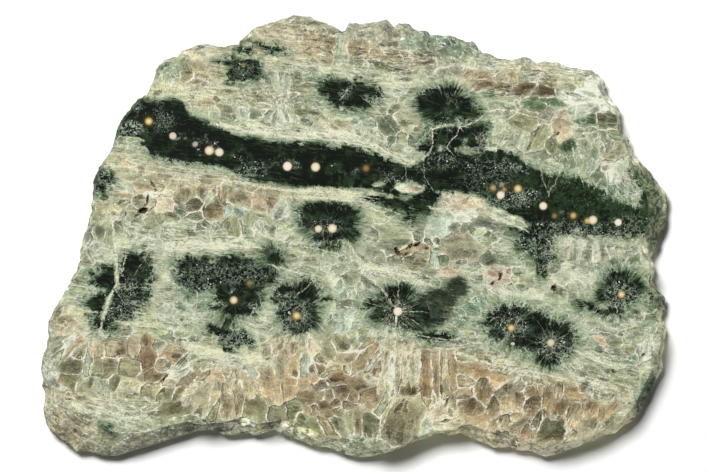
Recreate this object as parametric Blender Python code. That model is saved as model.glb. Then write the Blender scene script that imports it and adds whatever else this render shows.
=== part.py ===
"""Ocean jasper slab: one sawn slice of stone with a polished top face and a rough natural rim.

The slab lies on its sawn back, polished face up. Metres, +Z up. The origin is at the centre of
the slab's footprint, on the back face. Outlines are drawn in millimetres, with x from the slab's
left end and y from its lowest point, as seen from above.
"""

import math

import bmesh
import bpy
import numpy as np
from mathutils import Matrix, Vector, noise

MM = 0.001

SLAB_LENGTH = 157.0 * MM
SLAB_WIDTH = 111.0 * MM
THICKNESS = 9.0 * MM
CENTRE = Vector((SLAB_LENGTH / 2, SLAB_WIDTH / 2, 0.0))

# The rim's cross-section. Height counts down from the polished face, as a share of the thickness.
# Reach is the share of the way from the polished edge out to the slab's widest line.
RIM_HEIGHTS = (0.0, 0.10, 0.26, 0.44, 0.62, 0.82, 1.0)
RIM_REACHES = (0.0, 0.34, 0.72, 0.93, 1.0, 1.0, 1.0)
WIDEST_ROW = 4
BACK_TUCK = 1.3 * MM
COLUMN_GAP = 1.5 * MM

# The broken surface of the rim: lumps with smaller chips on them, and rows that waver in height.
LUMP_DEPTH = 1.5 * MM
LUMP_SIZE = 5.5 * MM
CHIP_DEPTH = 0.7 * MM
CHIP_SIZE = 2.0 * MM
BITE_OF_CELL = 0.55
BITE_OF_SWELL = 0.8
BITE_OF_RIDGE = 0.2
SWELL_STRETCH = 0.6
BITE_SHARE_OF_RIM = 0.45
BITE_FLOOR = 0.9 * MM
WAVER_HEIGHT = 0.45 * MM
WAVER_SIZE = 3.0 * MM
NOISE_OFFSET = Vector((3.1, 7.4, 1.9))
PIT_WOBBLE = 0.18

# The slab's widest line, clockwise from its left end.
SILHOUETTE = (
    (0.0, 22.0), (0.3, 25.0), (1.3, 27.2), (2.0, 30.0), (1.9, 34.0), (3.2, 36.7), (4.9, 39.8),
    (7.2, 43.6), (9.2, 47.0), (10.1, 50.3), (10.1, 53.0), (11.6, 57.5), (12.8, 62.0), (13.1, 66.0),
    (13.0, 68.6), (14.5, 71.8), (17.2, 76.3), (18.6, 80.0), (20.3, 84.5), (22.0, 87.0), (24.6, 90.0),
    (26.6, 90.9), (28.3, 95.0), (29.1, 97.5), (31.4, 99.9), (34.2, 100.2), (35.5, 101.8), (38.5, 103.0),
    (42.0, 103.6), (46.0, 102.8), (49.6, 103.6), (50.5, 104.9), (53.5, 107.4), (57.0, 108.7),
    (60.5, 110.0), (63.3, 111.0), (66.8, 110.6), (69.5, 109.6), (72.8, 108.2), (75.5, 106.9),
    (76.5, 107.2), (77.0, 108.7), (80.0, 108.5), (83.5, 109.0), (86.5, 109.6), (88.5, 107.7),
    (89.5, 108.6), (92.4, 108.5), (93.6, 107.1), (96.3, 107.0), (97.6, 105.8), (101.0, 105.7),
    (102.5, 105.9), (105.0, 104.5), (108.6, 104.1), (110.8, 101.4), (112.5, 101.0), (113.7, 100.1),
    (118.0, 99.5), (120.7, 100.2), (122.6, 100.1), (124.2, 98.7), (125.5, 99.1), (129.5, 98.9),
    (131.5, 98.1), (135.5, 97.3), (137.8, 97.2), (140.0, 95.6), (141.0, 94.5), (141.4, 92.0),
    (143.0, 89.5), (145.1, 86.9), (145.4, 84.0), (145.3, 81.6), (147.2, 79.9), (147.4, 78.0),
    (148.4, 77.0), (148.7, 75.0), (149.8, 74.5), (152.2, 71.9), (154.5, 68.6), (157.0, 65.6),
    (156.9, 63.0), (156.3, 58.5), (155.3, 55.5), (154.4, 52.8), (152.6, 50.0), (154.0, 47.4),
    (152.7, 44.0), (154.2, 42.3), (156.8, 40.0), (156.5, 37.0), (155.4, 35.0), (156.4, 32.5),
    (156.1, 28.5), (155.3, 25.5), (155.9, 22.8), (154.2, 19.2), (152.6, 15.5), (150.8, 12.5),
    (148.6, 9.5), (145.9, 8.3), (143.7, 6.1), (141.0, 5.8), (138.6, 4.2), (136.5, 3.8), (134.2, 2.6),
    (132.5, 2.5), (130.0, 1.1), (126.0, 0.3), (123.0, 1.4), (119.0, 1.9), (117.8, 2.6), (113.0, 2.6),
    (111.2, 4.3), (108.5, 4.6), (106.0, 5.9), (105.0, 6.2), (102.9, 5.4), (100.5, 6.1), (98.6, 6.2),
    (97.8, 5.4), (94.0, 4.4), (90.3, 2.4), (86.5, 1.1), (84.5, 0.8), (82.2, 0.0), (78.5, 0.1),
    (76.3, 0.9), (72.0, 2.6), (69.0, 2.7), (65.0, 4.1), (62.0, 5.5), (59.5, 6.3), (58.8, 7.1),
    (57.2, 6.7), (54.2, 5.5), (52.5, 6.2), (49.0, 5.9), (46.5, 5.7), (44.0, 6.7), (42.0, 6.9),
    (38.5, 6.7), (36.0, 6.3), (34.0, 5.2), (29.0, 3.7), (25.2, 2.3), (21.8, 1.3), (19.0, 0.4),
    (16.5, 0.6), (13.0, 1.3), (9.0, 1.6), (7.0, 3.0), (3.8, 5.3), (1.9, 7.5), (0.9, 10.0),
    (0.8, 13.0), (1.1, 16.0), (0.5, 18.0), (0.6, 20.5),
)

# Where the polished face ends and the rough rim starts, clockwise from the left.
POLISHED_EDGE = (
    (5.0, 22.8), (4.2, 25.3), (3.4, 27.6), (3.2, 30.0), (3.0, 34.0), (4.3, 36.5), (6.0, 39.6),
    (8.2, 43.3), (10.2, 46.8), (11.0, 50.0), (11.0, 53.0), (12.4, 57.3), (13.6, 62.0), (14.0, 66.0),
    (14.2, 68.6), (15.4, 71.6), (18.0, 76.0), (19.5, 80.0), (21.1, 84.3), (22.8, 86.5), (25.2, 89.2),
    (27.2, 90.4), (29.2, 95.0), (30.0, 97.2), (31.8, 99.0), (34.8, 99.4), (36.2, 100.9), (38.8, 102.0),
    (42.0, 102.6), (46.0, 101.9), (50.0, 102.7), (51.2, 104.0), (54.0, 106.4), (57.4, 107.7),
    (60.5, 108.9), (63.5, 108.6), (67.0, 108.8), (69.5, 108.5), (72.5, 107.2), (75.5, 105.9),
    (78.0, 104.6), (82.0, 103.8), (86.0, 103.6), (90.0, 103.2), (94.0, 102.0), (98.0, 100.6),
    (101.0, 99.0), (104.0, 98.4), (107.0, 99.2), (108.8, 99.9), (110.5, 98.2), (113.0, 97.4),
    (118.0, 96.8), (124.0, 96.2), (130.0, 96.4), (134.0, 95.9), (137.0, 95.6), (138.8, 94.3),
    (139.6, 92.0), (141.2, 89.0), (143.4, 86.6), (144.3, 84.0), (144.2, 81.8), (146.1, 79.4),
    (146.4, 77.5), (147.2, 75.4), (148.2, 72.6), (149.2, 69.8), (151.3, 66.6), (151.8, 63.0),
    (151.6, 59.0), (151.0, 55.8), (149.8, 53.6), (151.2, 50.2), (152.9, 47.4), (151.9, 44.2),
    (152.4, 42.4), (153.3, 40.0), (153.0, 37.2), (154.2, 35.0), (155.2, 32.4), (155.0, 28.5),
    (154.3, 25.7), (153.4, 23.2), (151.6, 19.5), (149.8, 15.8), (148.0, 12.6), (145.8, 10.3),
    (143.0, 8.9), (140.8, 7.4), (138.2, 6.0), (134.0, 4.6), (130.0, 3.4), (126.0, 3.0), (122.5, 4.0),
    (119.0, 5.2), (116.0, 6.6), (113.0, 6.4), (110.5, 7.6), (107.0, 8.0), (104.5, 7.2), (101.0, 6.9),
    (98.0, 6.7), (94.0, 5.1), (90.3, 3.2), (86.5, 2.0), (84.0, 2.1), (81.0, 3.2), (77.0, 3.6),
    (74.5, 4.9), (70.5, 5.9), (67.5, 7.8), (64.5, 9.8), (60.5, 10.0), (58.8, 9.4), (56.5, 9.0),
    (54.0, 8.6), (52.4, 9.7), (50.8, 10.6), (48.5, 9.9), (46.0, 8.8), (43.5, 8.9), (41.0, 8.4),
    (38.4, 8.8), (36.8, 9.4), (34.0, 8.5), (31.5, 8.1), (28.5, 7.2), (25.0, 6.6), (20.5, 6.6),
    (17.5, 7.2), (15.0, 8.7), (11.5, 10.6), (8.0, 12.8), (5.6, 15.2), (5.0, 18.0),
)

# Small open pits in the polished face: x, y, length, width and depth in mm, and the turn in degrees.
PITS = (
    (25.8, 61.8, 2.3, 1.5, 1.6, 25),
    (27.0, 64.6, 2.8, 0.7, 1.0, 75),
    (28.3, 68.3, 2.4, 0.7, 0.9, -55),
    (90.2, 52.2, 3.0, 1.1, 1.5, -52),
    (93.4, 53.2, 4.6, 1.2, 1.4, 24),
    (115.0, 45.6, 2.2, 0.8, 1.2, 84),
    (113.1, 43.5, 1.1, 0.9, 0.9, 10),
    (128.3, 42.5, 1.6, 1.3, 1.4, 30),
    (150.7, 25.8, 1.2, 1.0, 0.9, 0),
    (129.6, 81.0, 1.6, 1.1, 0.9, 60),
    (31.3, 20.0, 2.8, 0.8, 0.9, 52),
)


def clear_scene():
    for item in list(bpy.data.objects):
        bpy.data.objects.remove(item)


def new_collection(name):
    collection = bpy.data.collections.new(name)
    bpy.context.scene.collection.children.link(collection)
    return collection


def jasper_material():
    """Pale grey-green stone, polished on top."""
    material = bpy.data.materials.new("jasper")
    material.use_nodes = True
    surface = material.node_tree.nodes["Principled BSDF"]
    surface.inputs["Base Color"].default_value = (0.38, 0.42, 0.30, 1.0)
    surface.inputs["Roughness"].default_value = 0.3
    surface.inputs["Metallic"].default_value = 0.0
    return material


def polar(outline):
    """Angles and radii of an outline's points about the slab's centre, in order of angle."""
    points = np.array(outline) * MM - np.array(CENTRE[:2])
    angles = np.arctan2(points[:, 1], points[:, 0])
    order = np.argsort(angles)
    return angles[order], np.hypot(points[:, 0], points[:, 1])[order]


def column_angles(angles, radii):
    """The outline's own angles, with more between them wherever the gap is long."""
    columns = []
    for i, start in enumerate(angles):
        after = (i + 1) % len(angles)
        turn = (angles[after] - start) % (2 * math.pi)
        step = math.hypot(turn * radii[i], radii[after] - radii[i])
        parts = max(1, math.ceil(step / COLUMN_GAP))
        columns += [start + turn * k / parts for k in range(parts)]
    return np.array(columns)


def rough(point, size, depth):
    """A broken-stone bite between 0 and depth: hollow cells of the given size, with ridges between."""
    sample = point / size + NOISE_OFFSET
    near, second = noise.voronoi(sample)[0][:2]
    swell = abs(noise.noise(sample * SWELL_STRETCH))
    share = BITE_OF_CELL * near + BITE_OF_SWELL * swell + BITE_OF_RIDGE * (second - near)
    return depth * min(1.0, share)


def rim_point(angle, row, polished, widest):
    """A point of the rim's loft, between the polished edge and the widest line, bitten by fractures."""
    out = Vector((math.cos(angle), math.sin(angle), 0.0))
    reach = polished + (widest - polished) * RIM_REACHES[row]
    height = THICKNESS * (1.0 - RIM_HEIGHTS[row])
    last = len(RIM_HEIGHTS) - 1
    if row == 0:
        return out * reach + Vector((0.0, 0.0, height))
    if row > WIDEST_ROW:
        reach -= BACK_TUCK * (row - WIDEST_ROW) / (last - WIDEST_ROW)
    place = out * reach + Vector((0.0, 0.0, height))
    if row not in (WIDEST_ROW, last):
        bite = rough(place, LUMP_SIZE, LUMP_DEPTH) + rough(place, CHIP_SIZE, CHIP_DEPTH)
        reach -= min(bite, BITE_SHARE_OF_RIM * (widest - polished) + BITE_FLOOR)
    if row != last:
        height += WAVER_HEIGHT * noise.noise(place / WAVER_SIZE + NOISE_OFFSET)
    return out * reach + Vector((0.0, 0.0, height))


def rough_rimmed_slice(collection):
    """A loft from the polished edge, over the rim, to the sawn back."""
    widest_angles, widest_radii = polar(SILHOUETTE)
    edge_angles, edge_radii = polar(POLISHED_EDGE)
    angles = column_angles(widest_angles, widest_radii)
    turn = 2 * math.pi
    widest = np.interp(angles, widest_angles, widest_radii, period=turn)
    polished = np.interp(angles, edge_angles, edge_radii, period=turn)

    mesh = bmesh.new()
    rows = []
    for row in range(len(RIM_HEIGHTS)):
        rows.append([
            mesh.verts.new(rim_point(a, row, p, w)) for a, p, w in zip(angles, polished, widest)
        ])
    for upper, lower in zip(rows, rows[1:]):
        for i in range(len(angles)):
            after = (i + 1) % len(angles)
            mesh.faces.new((upper[i], lower[i], lower[after], upper[after]))
    mesh.faces.new(rows[0])
    mesh.faces.new(reversed(rows[-1]))
    bmesh.ops.triangulate(mesh, faces=mesh.faces[:])
    bmesh.ops.recalc_face_normals(mesh, faces=mesh.faces[:])
    data = bpy.data.meshes.new("slab")
    mesh.to_mesh(data)
    mesh.free()
    slab = bpy.data.objects.new("slab", data)
    collection.objects.link(slab)
    return slab


def pit_cutter(number, pit, collection):
    """A faceted bean that leaves one open pit in the polished face."""
    x, y, length, width, depth, turn = pit
    mesh = bmesh.new()
    size = Matrix.Diagonal((length * MM / 2, width * MM / 2, depth * MM, 1.0))
    bmesh.ops.create_icosphere(mesh, subdivisions=2, radius=1.0, matrix=size)
    for vertex in mesh.verts:
        vertex.co *= 1.0 + PIT_WOBBLE * noise.noise(vertex.co / MM + NOISE_OFFSET * number)
    data = bpy.data.meshes.new(f"pit_cutter_{number}")
    mesh.to_mesh(data)
    mesh.free()
    cutter = bpy.data.objects.new(data.name, data)
    cutter.location = Vector((x * MM, y * MM, THICKNESS)) - CENTRE
    cutter.rotation_euler.z = math.radians(turn)
    cutter.hide_render = True
    cutter.display_type = "WIRE"
    collection.objects.link(cutter)
    return cutter


def cut(piece, cutter):
    modifier = piece.modifiers.new(cutter.name, "BOOLEAN")
    modifier.operation = "DIFFERENCE"
    modifier.solver = "EXACT"
    modifier.object = cutter


def build_slab():
    clear_scene()
    stone = new_collection("ocean_jasper_slab")
    cutters = new_collection("cutters")
    slab = rough_rimmed_slice(stone)
    slab.data.materials.append(jasper_material())
    for number, pit in enumerate(PITS, start=1):
        cut(slab, pit_cutter(number, pit, cutters))


build_slab()
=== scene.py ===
# Ocean jasper slab. Its pattern is painted in millimetres as seen from above, with x from the
# slab's left end and y from its lowest point. Meshes, lights and the camera are in metres.
import math
import bpy
import numpy as np
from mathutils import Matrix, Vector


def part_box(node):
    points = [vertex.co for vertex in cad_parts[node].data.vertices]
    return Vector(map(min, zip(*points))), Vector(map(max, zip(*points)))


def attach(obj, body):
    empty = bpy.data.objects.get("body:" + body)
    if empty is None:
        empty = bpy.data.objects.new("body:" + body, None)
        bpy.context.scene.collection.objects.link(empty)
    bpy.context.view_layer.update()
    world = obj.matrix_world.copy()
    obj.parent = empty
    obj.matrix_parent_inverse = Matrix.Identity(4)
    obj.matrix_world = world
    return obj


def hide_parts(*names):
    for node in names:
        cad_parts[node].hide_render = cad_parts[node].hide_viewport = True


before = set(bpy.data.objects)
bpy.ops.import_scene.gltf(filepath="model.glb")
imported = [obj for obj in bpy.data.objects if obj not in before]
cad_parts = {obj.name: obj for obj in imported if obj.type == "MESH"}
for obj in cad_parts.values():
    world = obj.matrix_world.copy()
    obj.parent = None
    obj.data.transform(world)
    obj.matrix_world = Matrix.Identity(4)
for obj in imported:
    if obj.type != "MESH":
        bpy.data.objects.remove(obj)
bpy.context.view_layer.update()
boxLow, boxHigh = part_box("slab")
mm = 0.001
turnAll = 2 * math.pi
print("frame loaded")


# A repeatable random value from 0 to 1 for each whole-numbered cell
def scatter(lattice, seed):
    primes = np.array([374761393, 668265263, 2147483647][:lattice.shape[1]])
    mixed = (lattice * primes).sum(1) + seed * 974634777
    mixed = (mixed ^ (mixed >> 13)) * 1274126177
    return ((mixed ^ (mixed >> 16)) & 0xFFFF) / 65535


# Value noise: a random value at each corner of a unit lattice, eased between the corners
def latticeNoise(points, seed):
    base = np.floor(points)
    part = points - base
    ease = part * part * (3 - 2 * part)
    total = np.zeros(len(points))
    for corner in np.ndindex(*(2,) * points.shape[1]):
        share = np.prod(np.where(np.array(corner) == 1, ease, 1 - ease), axis=1)
        total += share * scatter(base.astype(np.int64) + corner, seed)
    return total


# Three octaves of lattice noise, each half as wide and half as strong as the last, from -1 to 1
def clouds(points, size, seed):
    total = sum(latticeNoise(points * 2 ** k / size + 17.3 * k, seed + k) / 2 ** k for k in range(3))
    return total / 0.875 - 1


# Smooth step from 0 at the first limit to 1 at the second
def fade(value, first, second):
    part = np.clip((value - first) / (second - first), 0, 1)
    return part * part * (3 - 2 * part)


# Points moved sideways by noise of the given size and reach
def stir(points, size, reach, seed):
    return points + reach * np.stack([clouds(points, size, seed), clouds(points, size, seed + 9)], 1)


# Distance from an ellipse's middle, and the same as a share of the way to its edge
def ellipseReach(points, x, y, wide, high, turn=0):
    a = math.radians(turn)
    d = points - (x, y)
    along = d[:, 0] * math.cos(a) + d[:, 1] * math.sin(a)
    across = d[:, 1] * math.cos(a) - d[:, 0] * math.sin(a)
    return np.hypot(along, across) + 1e-6, np.hypot(along / wide, across / high) + 1e-6


# Distance to a line of points, the side of it that a place is on, and how far along it, from 0 to 1
def lineReach(points, line):
    line = np.array(line, float)
    gap = np.full(len(points), 1e9)
    side = np.ones(len(points))
    along = np.zeros(len(points))
    for k, (start, end) in enumerate(zip(line, line[1:])):
        run = end - start
        share = np.clip(((points - start) @ run) / (run @ run), 0, 1)
        d = points - start - share[:, None] * run
        reach = np.hypot(d[:, 0], d[:, 1])
        near = reach < gap
        gap[near] = reach[near]
        side[near] = np.where(run[0] * d[near, 1] - run[1] * d[near, 0] < 0, -1, 1)
        along[near] = (k + share[near]) / (len(line) - 1)
    return gap, side, along


# The larger of two fields, rounded where they meet
def softMax(a, b, round):
    share = np.clip(0.5 + 0.5 * (a - b) / round, 0, 1)
    return b + (a - b) * share + round * share * (1 - share)


# Colours of the stone, as seen in daylight on a white ground, from 0 to 255
tints = {
    "sage": (160, 168, 138), "mist": (186, 192, 166), "cream": (216, 220, 190), "butter": (210, 205, 165),
    "white": (232, 234, 214), "ice": (192, 203, 187), "tan": (178, 162, 128), "sand": (196, 188, 156),
    "brown": (138, 120, 90), "umber": (108, 92, 66), "rust": (184, 155, 116), "olive": (146, 144, 110),
    "moss": (106, 112, 82), "fern": (100, 120, 84), "teal": (108, 138, 114), "grey": (150, 150, 126),
    "slate": (108, 116, 96), "blush": (214, 196, 168), "pink": (226, 198, 168), "pine": (60, 80, 56),
    "lime": (174, 176, 130), "hay": (172, 168, 134), "drab": (124, 120, 88), "fawn": (180, 156, 120),
}

# Soft patches of colour, each laid over those before it: tint, x, y, half width, half height, turn, strength
washes = (
    # upper left
    ("tan", 62, 104, 15, 5.5, -6, 0.9), ("sand", 60, 108, 8, 2, 18, 0.7),
    ("tan", 72, 102.5, 7, 2.6, -8, 0.8), ("brown", 74, 102, 4, 1.4, -8, 0.5),
    ("slate", 65, 109.6, 3.2, 1, -8, 0.8), ("mist", 74.6, 101.5, 1.9, 4.2, -8, 0.7),
    ("butter", 60, 99.2, 8, 1.5, 4, 0.8), ("sand", 42, 100.8, 8, 2.6, 4, 0.9),
    ("ice", 41, 101.5, 2, 1.5, 30, 0.5), ("teal", 32.5, 98, 3, 2.6, 60, 0.35),
    ("ice", 32, 93.5, 2.6, 2, 0, 0.5), ("tan", 41, 96, 6, 3, 10, 0.7), ("butter", 42, 91.2, 17, 2, -2, 0.8),
    ("tan", 52, 91, 7, 1.3, -2, 0.6), ("tan", 43, 88.6, 3, 1.8, 0, 0.7),
    ("olive", 47.5, 87.8, 2.6, 2.4, 0, 0.7), ("tan", 54, 89.5, 4.5, 3, 0, 0.5),
    ("grey", 60.5, 89, 4, 6.5, 8, 0.5), ("olive", 64.5, 88, 2.4, 3.6, 0, 0.8),
    ("olive", 66.5, 92.5, 3.5, 3, 0, 0.6), ("mist", 57, 96, 4, 2.4, -20, 0.6),
    ("cream", 60, 81.4, 14, 1.9, -6, 0.95), ("cream", 77, 80.4, 9, 2.2, -12, 0.9),
    ("cream", 86, 77, 7, 1.4, -30, 0.9), ("moss", 69.8, 82.6, 2, 0.8, -40, 0.8),
    ("butter", 73.5, 83.3, 3.6, 2.4, -20, 0.6), ("olive", 17, 77, 2.4, 5, 60, 0.7),
    ("sage", 23, 78.2, 4, 2.2, 0, 0.6), ("butter", 19.5, 73, 5, 2, 10, 0.8),
    ("blush", 26, 73, 6, 1.7, -10, 0.6), ("tan", 26, 68.6, 4, 1.6, 0, 0.5),
    ("sand", 20, 64.6, 6, 3, 20, 0.7), ("blush", 30, 64.5, 5, 3.5, 0, 0.6),
    ("tan", 40, 69, 12, 3, -8, 0.75), ("tan", 51, 66.5, 9, 3, -12, 0.7),
    ("sand", 59, 66.5, 6, 2.2, -10, 0.7), ("slate", 38.5, 63.4, 4, 1.8, 20, 0.8),
    ("umber", 43.8, 62, 2.6, 2.1, 0, 0.75), ("brown", 46.5, 66.5, 1.4, 2.2, 10, 0.5),
    ("brown", 56.6, 62.8, 2.2, 2.4, -20, 0.5), ("ice", 49, 62, 4, 1.6, 30, 0.6),
    ("sage", 50, 58.4, 6, 3, 0, 0.7), ("olive", 31, 60.6, 3, 1.4, 0, 0.5), ("sage", 20, 58, 9, 3, 0, 0.6),
    ("slate", 18, 60.6, 1.6, 1, 20, 0.6), ("ice", 61.5, 62, 2.4, 2.6, 40, 0.7),
    ("mist", 60, 58, 3, 2.6, 0, 0.7), ("sage", 58, 89, 14, 6, 0, 0.5), ("sage", 62, 97, 10, 2.4, 0, 0.35),
    # right of the middle
    ("slate", 117, 51.4, 8, 5.6, 0, 0.6), ("slate", 140, 50.6, 6, 3.6, 0, 0.6),
    ("sage", 128.6, 51, 5, 5, 0, 0.3),
    # upper right
    ("olive", 90, 99.6, 13, 4, -6, 0.45), ("sage", 122, 82, 16, 6, 0, 0.4),
    ("sage", 134, 76, 10, 3, 0, 0.5), ("grey", 86, 105, 14, 3, -6, 0.5),
    ("grey", 88, 106.5, 12, 2.6, -4, 0.8), ("teal", 100.5, 103.4, 8, 2.8, -10, 0.85),
    ("fern", 97.5, 103.4, 2.6, 1.4, 0, 0.6), ("teal", 107.5, 102.5, 3, 2.4, -20, 0.6),
    ("tan", 86, 101.6, 8, 2.2, -6, 0.85), ("rust", 81.5, 101.6, 2.6, 1.6, 0, 0.5),
    ("brown", 95.5, 100.3, 3.6, 1, -4, 0.6), ("moss", 87, 97.6, 6.5, 1.5, -8, 0.85),
    ("tan", 94, 98.3, 6, 0.9, -4, 0.7), ("cream", 87, 94.6, 10, 1.6, -6, 0.8),
    ("butter", 80, 97.8, 3, 1.6, 0, 0.6), ("grey", 101, 97.4, 5, 3, -4, 0.6),
    ("tan", 113, 95.2, 7, 2.2, 2, 0.8), ("sand", 114, 98.6, 6, 1.6, 0, 0.7),
    ("sand", 127, 97.6, 10, 1.6, -3, 0.8), ("tan", 126, 94.6, 5, 1.3, -3, 0.6),
    ("umber", 116, 92, 2.4, 1.7, 30, 0.8), ("brown", 120.4, 92.4, 2.6, 1.9, 20, 0.85),
    ("umber", 126.9, 91.7, 2.5, 1.6, -8, 0.8), ("ice", 112, 99.6, 2.6, 1.2, 0, 0.6),
    ("olive", 109.5, 93, 3, 1.2, -30, 0.5), ("white", 136.5, 91.4, 7.5, 5.6, -40, 0.9),
    ("butter", 132.6, 93.8, 2.8, 2.2, 0, 0.8), ("tan", 132.4, 94, 1.2, 1, 0, 0.4),
    ("white", 141, 87.5, 4.2, 3, 0, 0.8), ("fern", 138.8, 89.8, 0.9, 0.7, 0, 0.6),
    ("fern", 126.5, 88.5, 5.2, 1.5, -4, 0.9), ("pine", 128.5, 88.4, 2.4, 0.7, -8, 0.5),
    ("fern", 111, 91, 5, 1, 6, 0.7), ("fern", 136.5, 83.8, 3.2, 1.6, 0, 0.8),
    ("moss", 142.6, 84, 2.8, 2.6, 0, 0.8), ("ice", 130, 86, 4, 1.8, -10, 0.5),
    ("sand", 130.6, 83, 3.8, 3, -30, 0.9), ("olive", 120.8, 84, 2.5, 3.2, 0, 0.75),
    ("mist", 124.8, 80.4, 2.4, 3.6, -20, 0.8), ("mist", 115, 82.5, 4, 3, 0, 0.6),
    ("olive", 128, 77.4, 1.9, 2.9, 0, 0.8), ("fern", 132.2, 77.2, 1.8, 2.8, 0, 0.9),
    ("mist", 117, 78.5, 6, 2.2, 0, 0.5), ("sage", 137.5, 77.4, 4, 2.8, 0, 0.8),
    ("mist", 145, 77, 2.8, 1.8, 30, 0.8), ("moss", 145, 80.6, 3.6, 1, -20, 0.7),
    ("ice", 143, 71, 6, 4, 20, 0.7), ("slate", 147.6, 72, 2.4, 3, 30, 0.5),
    ("teal", 143.5, 66.3, 4.6, 2, 0, 0.8), ("moss", 153, 66, 4.6, 9, 20, 0.9),
    ("slate", 151, 58, 2, 5, 0, 0.5), ("sage", 87, 82, 8, 5, 0, 0.6),
    ("slate", 87.2, 82.6, 2.2, 1.9, 0, 0.7), ("grey", 83.5, 87.6, 2.4, 1.6, 0, 0.7),
    ("grey", 89, 87.4, 2.4, 1.6, 0, 0.7), ("ice", 80, 85.5, 3.4, 3, 0, 0.6), ("mist", 86, 92, 3, 2, 0, 0.6),
    ("olive", 93, 83, 2.6, 3, 0, 0.5), ("teal", 97, 79.6, 3, 3, 0, 0.6),
    ("butter", 76, 65.2, 13, 1.7, -5, 0.9), ("cream", 78, 63.8, 6, 1.2, -10, 0.7),
    ("mist", 92, 67.3, 4.2, 1.9, -4, 0.9), ("fern", 94, 66, 2, 1.2, 0, 0.6),
    ("blush", 106, 63.6, 6, 2.4, -10, 0.9), ("tan", 106.4, 63.4, 2.4, 1.2, -20, 0.5),
    ("white", 105, 60.9, 3, 1.6, 0, 0.9), ("cream", 116.5, 60, 6, 1.6, -22, 0.9),
    ("fern", 90, 61.5, 5, 2.4, -20, 0.8), ("fern", 97, 62.5, 3.6, 3, 0, 0.8),
    ("mist", 87.5, 58, 3.8, 2.4, 0, 0.8), ("ice", 101, 58.5, 4, 3, 0, 0.7),
    ("slate", 103.4, 57.4, 1.3, 1.1, 0, 0.8), ("slate", 107.6, 57.4, 1, 0.9, 0, 0.6),
    ("slate", 112.6, 58, 3.6, 1.3, -22, 0.8), ("olive", 93.5, 58, 1.6, 2.2, 0, 0.5),
    ("butter", 84, 61, 2, 2, 0, 0.6),
    # lower left
    ("sage", 52, 58.6, 10, 3, 0, 0.4), ("sage", 17, 55, 7, 6, 0, 0.4), ("sage", 45, 56, 12, 2.4, 0, 0.4),
    ("grey", 27, 50, 4, 3, 0, 0.4), ("mist", 14.5, 53, 4.5, 5, 0, 0.6), ("sage", 13, 46, 3, 4, 60, 0.7),
    ("cream", 27, 52.5, 6, 3, -10, 0.7), ("cream", 43, 52.8, 11, 2, 0, 0.9),
    ("mist", 30.5, 43, 4, 5, 0, 0.9), ("cream", 26, 36, 6, 1.6, 0, 0.8),
    ("teal", 38, 39.6, 5.5, 2.8, 0, 0.7), ("mist", 37.5, 35.8, 5, 2.4, 0, 0.7),
    ("butter", 25, 33.4, 6, 1.4, 0, 0.9), ("butter", 11.5, 36, 3.4, 1.6, -20, 0.8),
    ("tan", 5.5, 33.5, 4, 5, 60, 0.7), ("blush", 7.5, 30, 3, 3, 0, 0.5),
    ("rust", 11, 29.5, 3.6, 1.8, 45, 0.7), ("butter", 13, 41, 3, 2, -30, 0.5),
    ("sand", 7, 39, 3, 1.4, 40, 0.6), ("tan", 22, 25.6, 12, 5, 0, 0.9), ("grey", 15.5, 24, 5, 3, 0, 0.45),
    ("brown", 27.6, 24.4, 2.4, 5, 12, 0.75), ("brown", 20, 27.6, 3, 1.8, 0, 0.4),
    ("brown", 33.4, 26.6, 2.8, 1.8, 0, 0.6), ("moss", 7.8, 21, 2.2, 5, 8, 0.7),
    ("olive", 9, 26, 2, 3, 40, 0.6), ("ice", 1.6, 21.5, 2.6, 3.8, 0, 0.95),
    ("olive", 18, 17.8, 9, 3.2, 0, 0.55), ("butter", 26, 17.4, 6, 2, -6, 0.6),
    ("cream", 16, 13, 9, 2, -10, 0.8), ("cream", 24, 9.4, 9, 1.6, 6, 0.8),
    ("moss", 32, 12.4, 4.4, 1.6, 20, 0.8), ("tan", 8.5, 6.5, 7.5, 5, -30, 0.8),
    ("sand", 2.6, 13, 2.4, 4.4, 0, 0.7), ("pine", 17, 7.6, 2.2, 0.9, -40, 0.8),
    ("grey", 28, 5, 10, 2.2, 10, 0.8), ("slate", 19, 1.6, 4, 1, -5, 0.6),
    ("slate", 48, 7, 13, 1.7, -2, 0.75), ("tan", 50, 18, 14, 7, 0, 0.85),
    ("rust", 43.6, 21, 3.4, 2, 20, 0.6), ("olive", 43, 12.6, 6, 2.6, 0, 0.6),
    ("olive", 56, 12.6, 8, 2.4, 0, 0.6), ("brown", 58, 18, 4, 4, -30, 0.6),
    ("brown", 47, 17, 1.8, 4.4, 0, 0.4), ("cream", 46, 26.3, 12, 1.9, -8, 0.95),
    ("butter", 54, 24.6, 3, 1.6, 10, 0.7), ("ice", 34.6, 20.4, 4.2, 2.6, 28, 0.75),
    ("tan", 66, 22, 6, 6, 0, 0.7), ("olive", 65, 26.4, 8, 2.4, 0, 0.4),
    ("brown", 72, 17, 7.4, 5.4, 0, 0.85), ("umber", 75.5, 18.6, 3, 2, 0, 0.7),
    ("umber", 69.6, 17.6, 1.8, 1.6, 0, 0.6), ("sand", 68, 22.6, 4, 1.6, 0, 0.4),
    ("olive", 67, 8.4, 8, 3, -20, 0.7), ("rust", 73.6, 8.6, 2.6, 3, 0, 0.4), ("mist", 58, 33, 6, 4, 0, 0.8),
    ("mist", 75, 46, 6, 5, 0, 0.7), ("ice", 75.5, 35, 3.4, 5, 0, 0.7),
    ("butter", 64, 51.6, 6, 2.6, -8, 0.7), ("mist", 63, 46.6, 5, 2, -10, 0.6),
    ("olive", 77, 39, 3, 2, 0, 0.5), ("olive", 74, 27.4, 5, 2.6, 0, 0.6),
    ("pine", 77.5, 2, 4, 1.6, -10, 0.6), ("slate", 70, 4.6, 5, 1.4, -12, 0.6),
    # broad tones of the lower half
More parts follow.
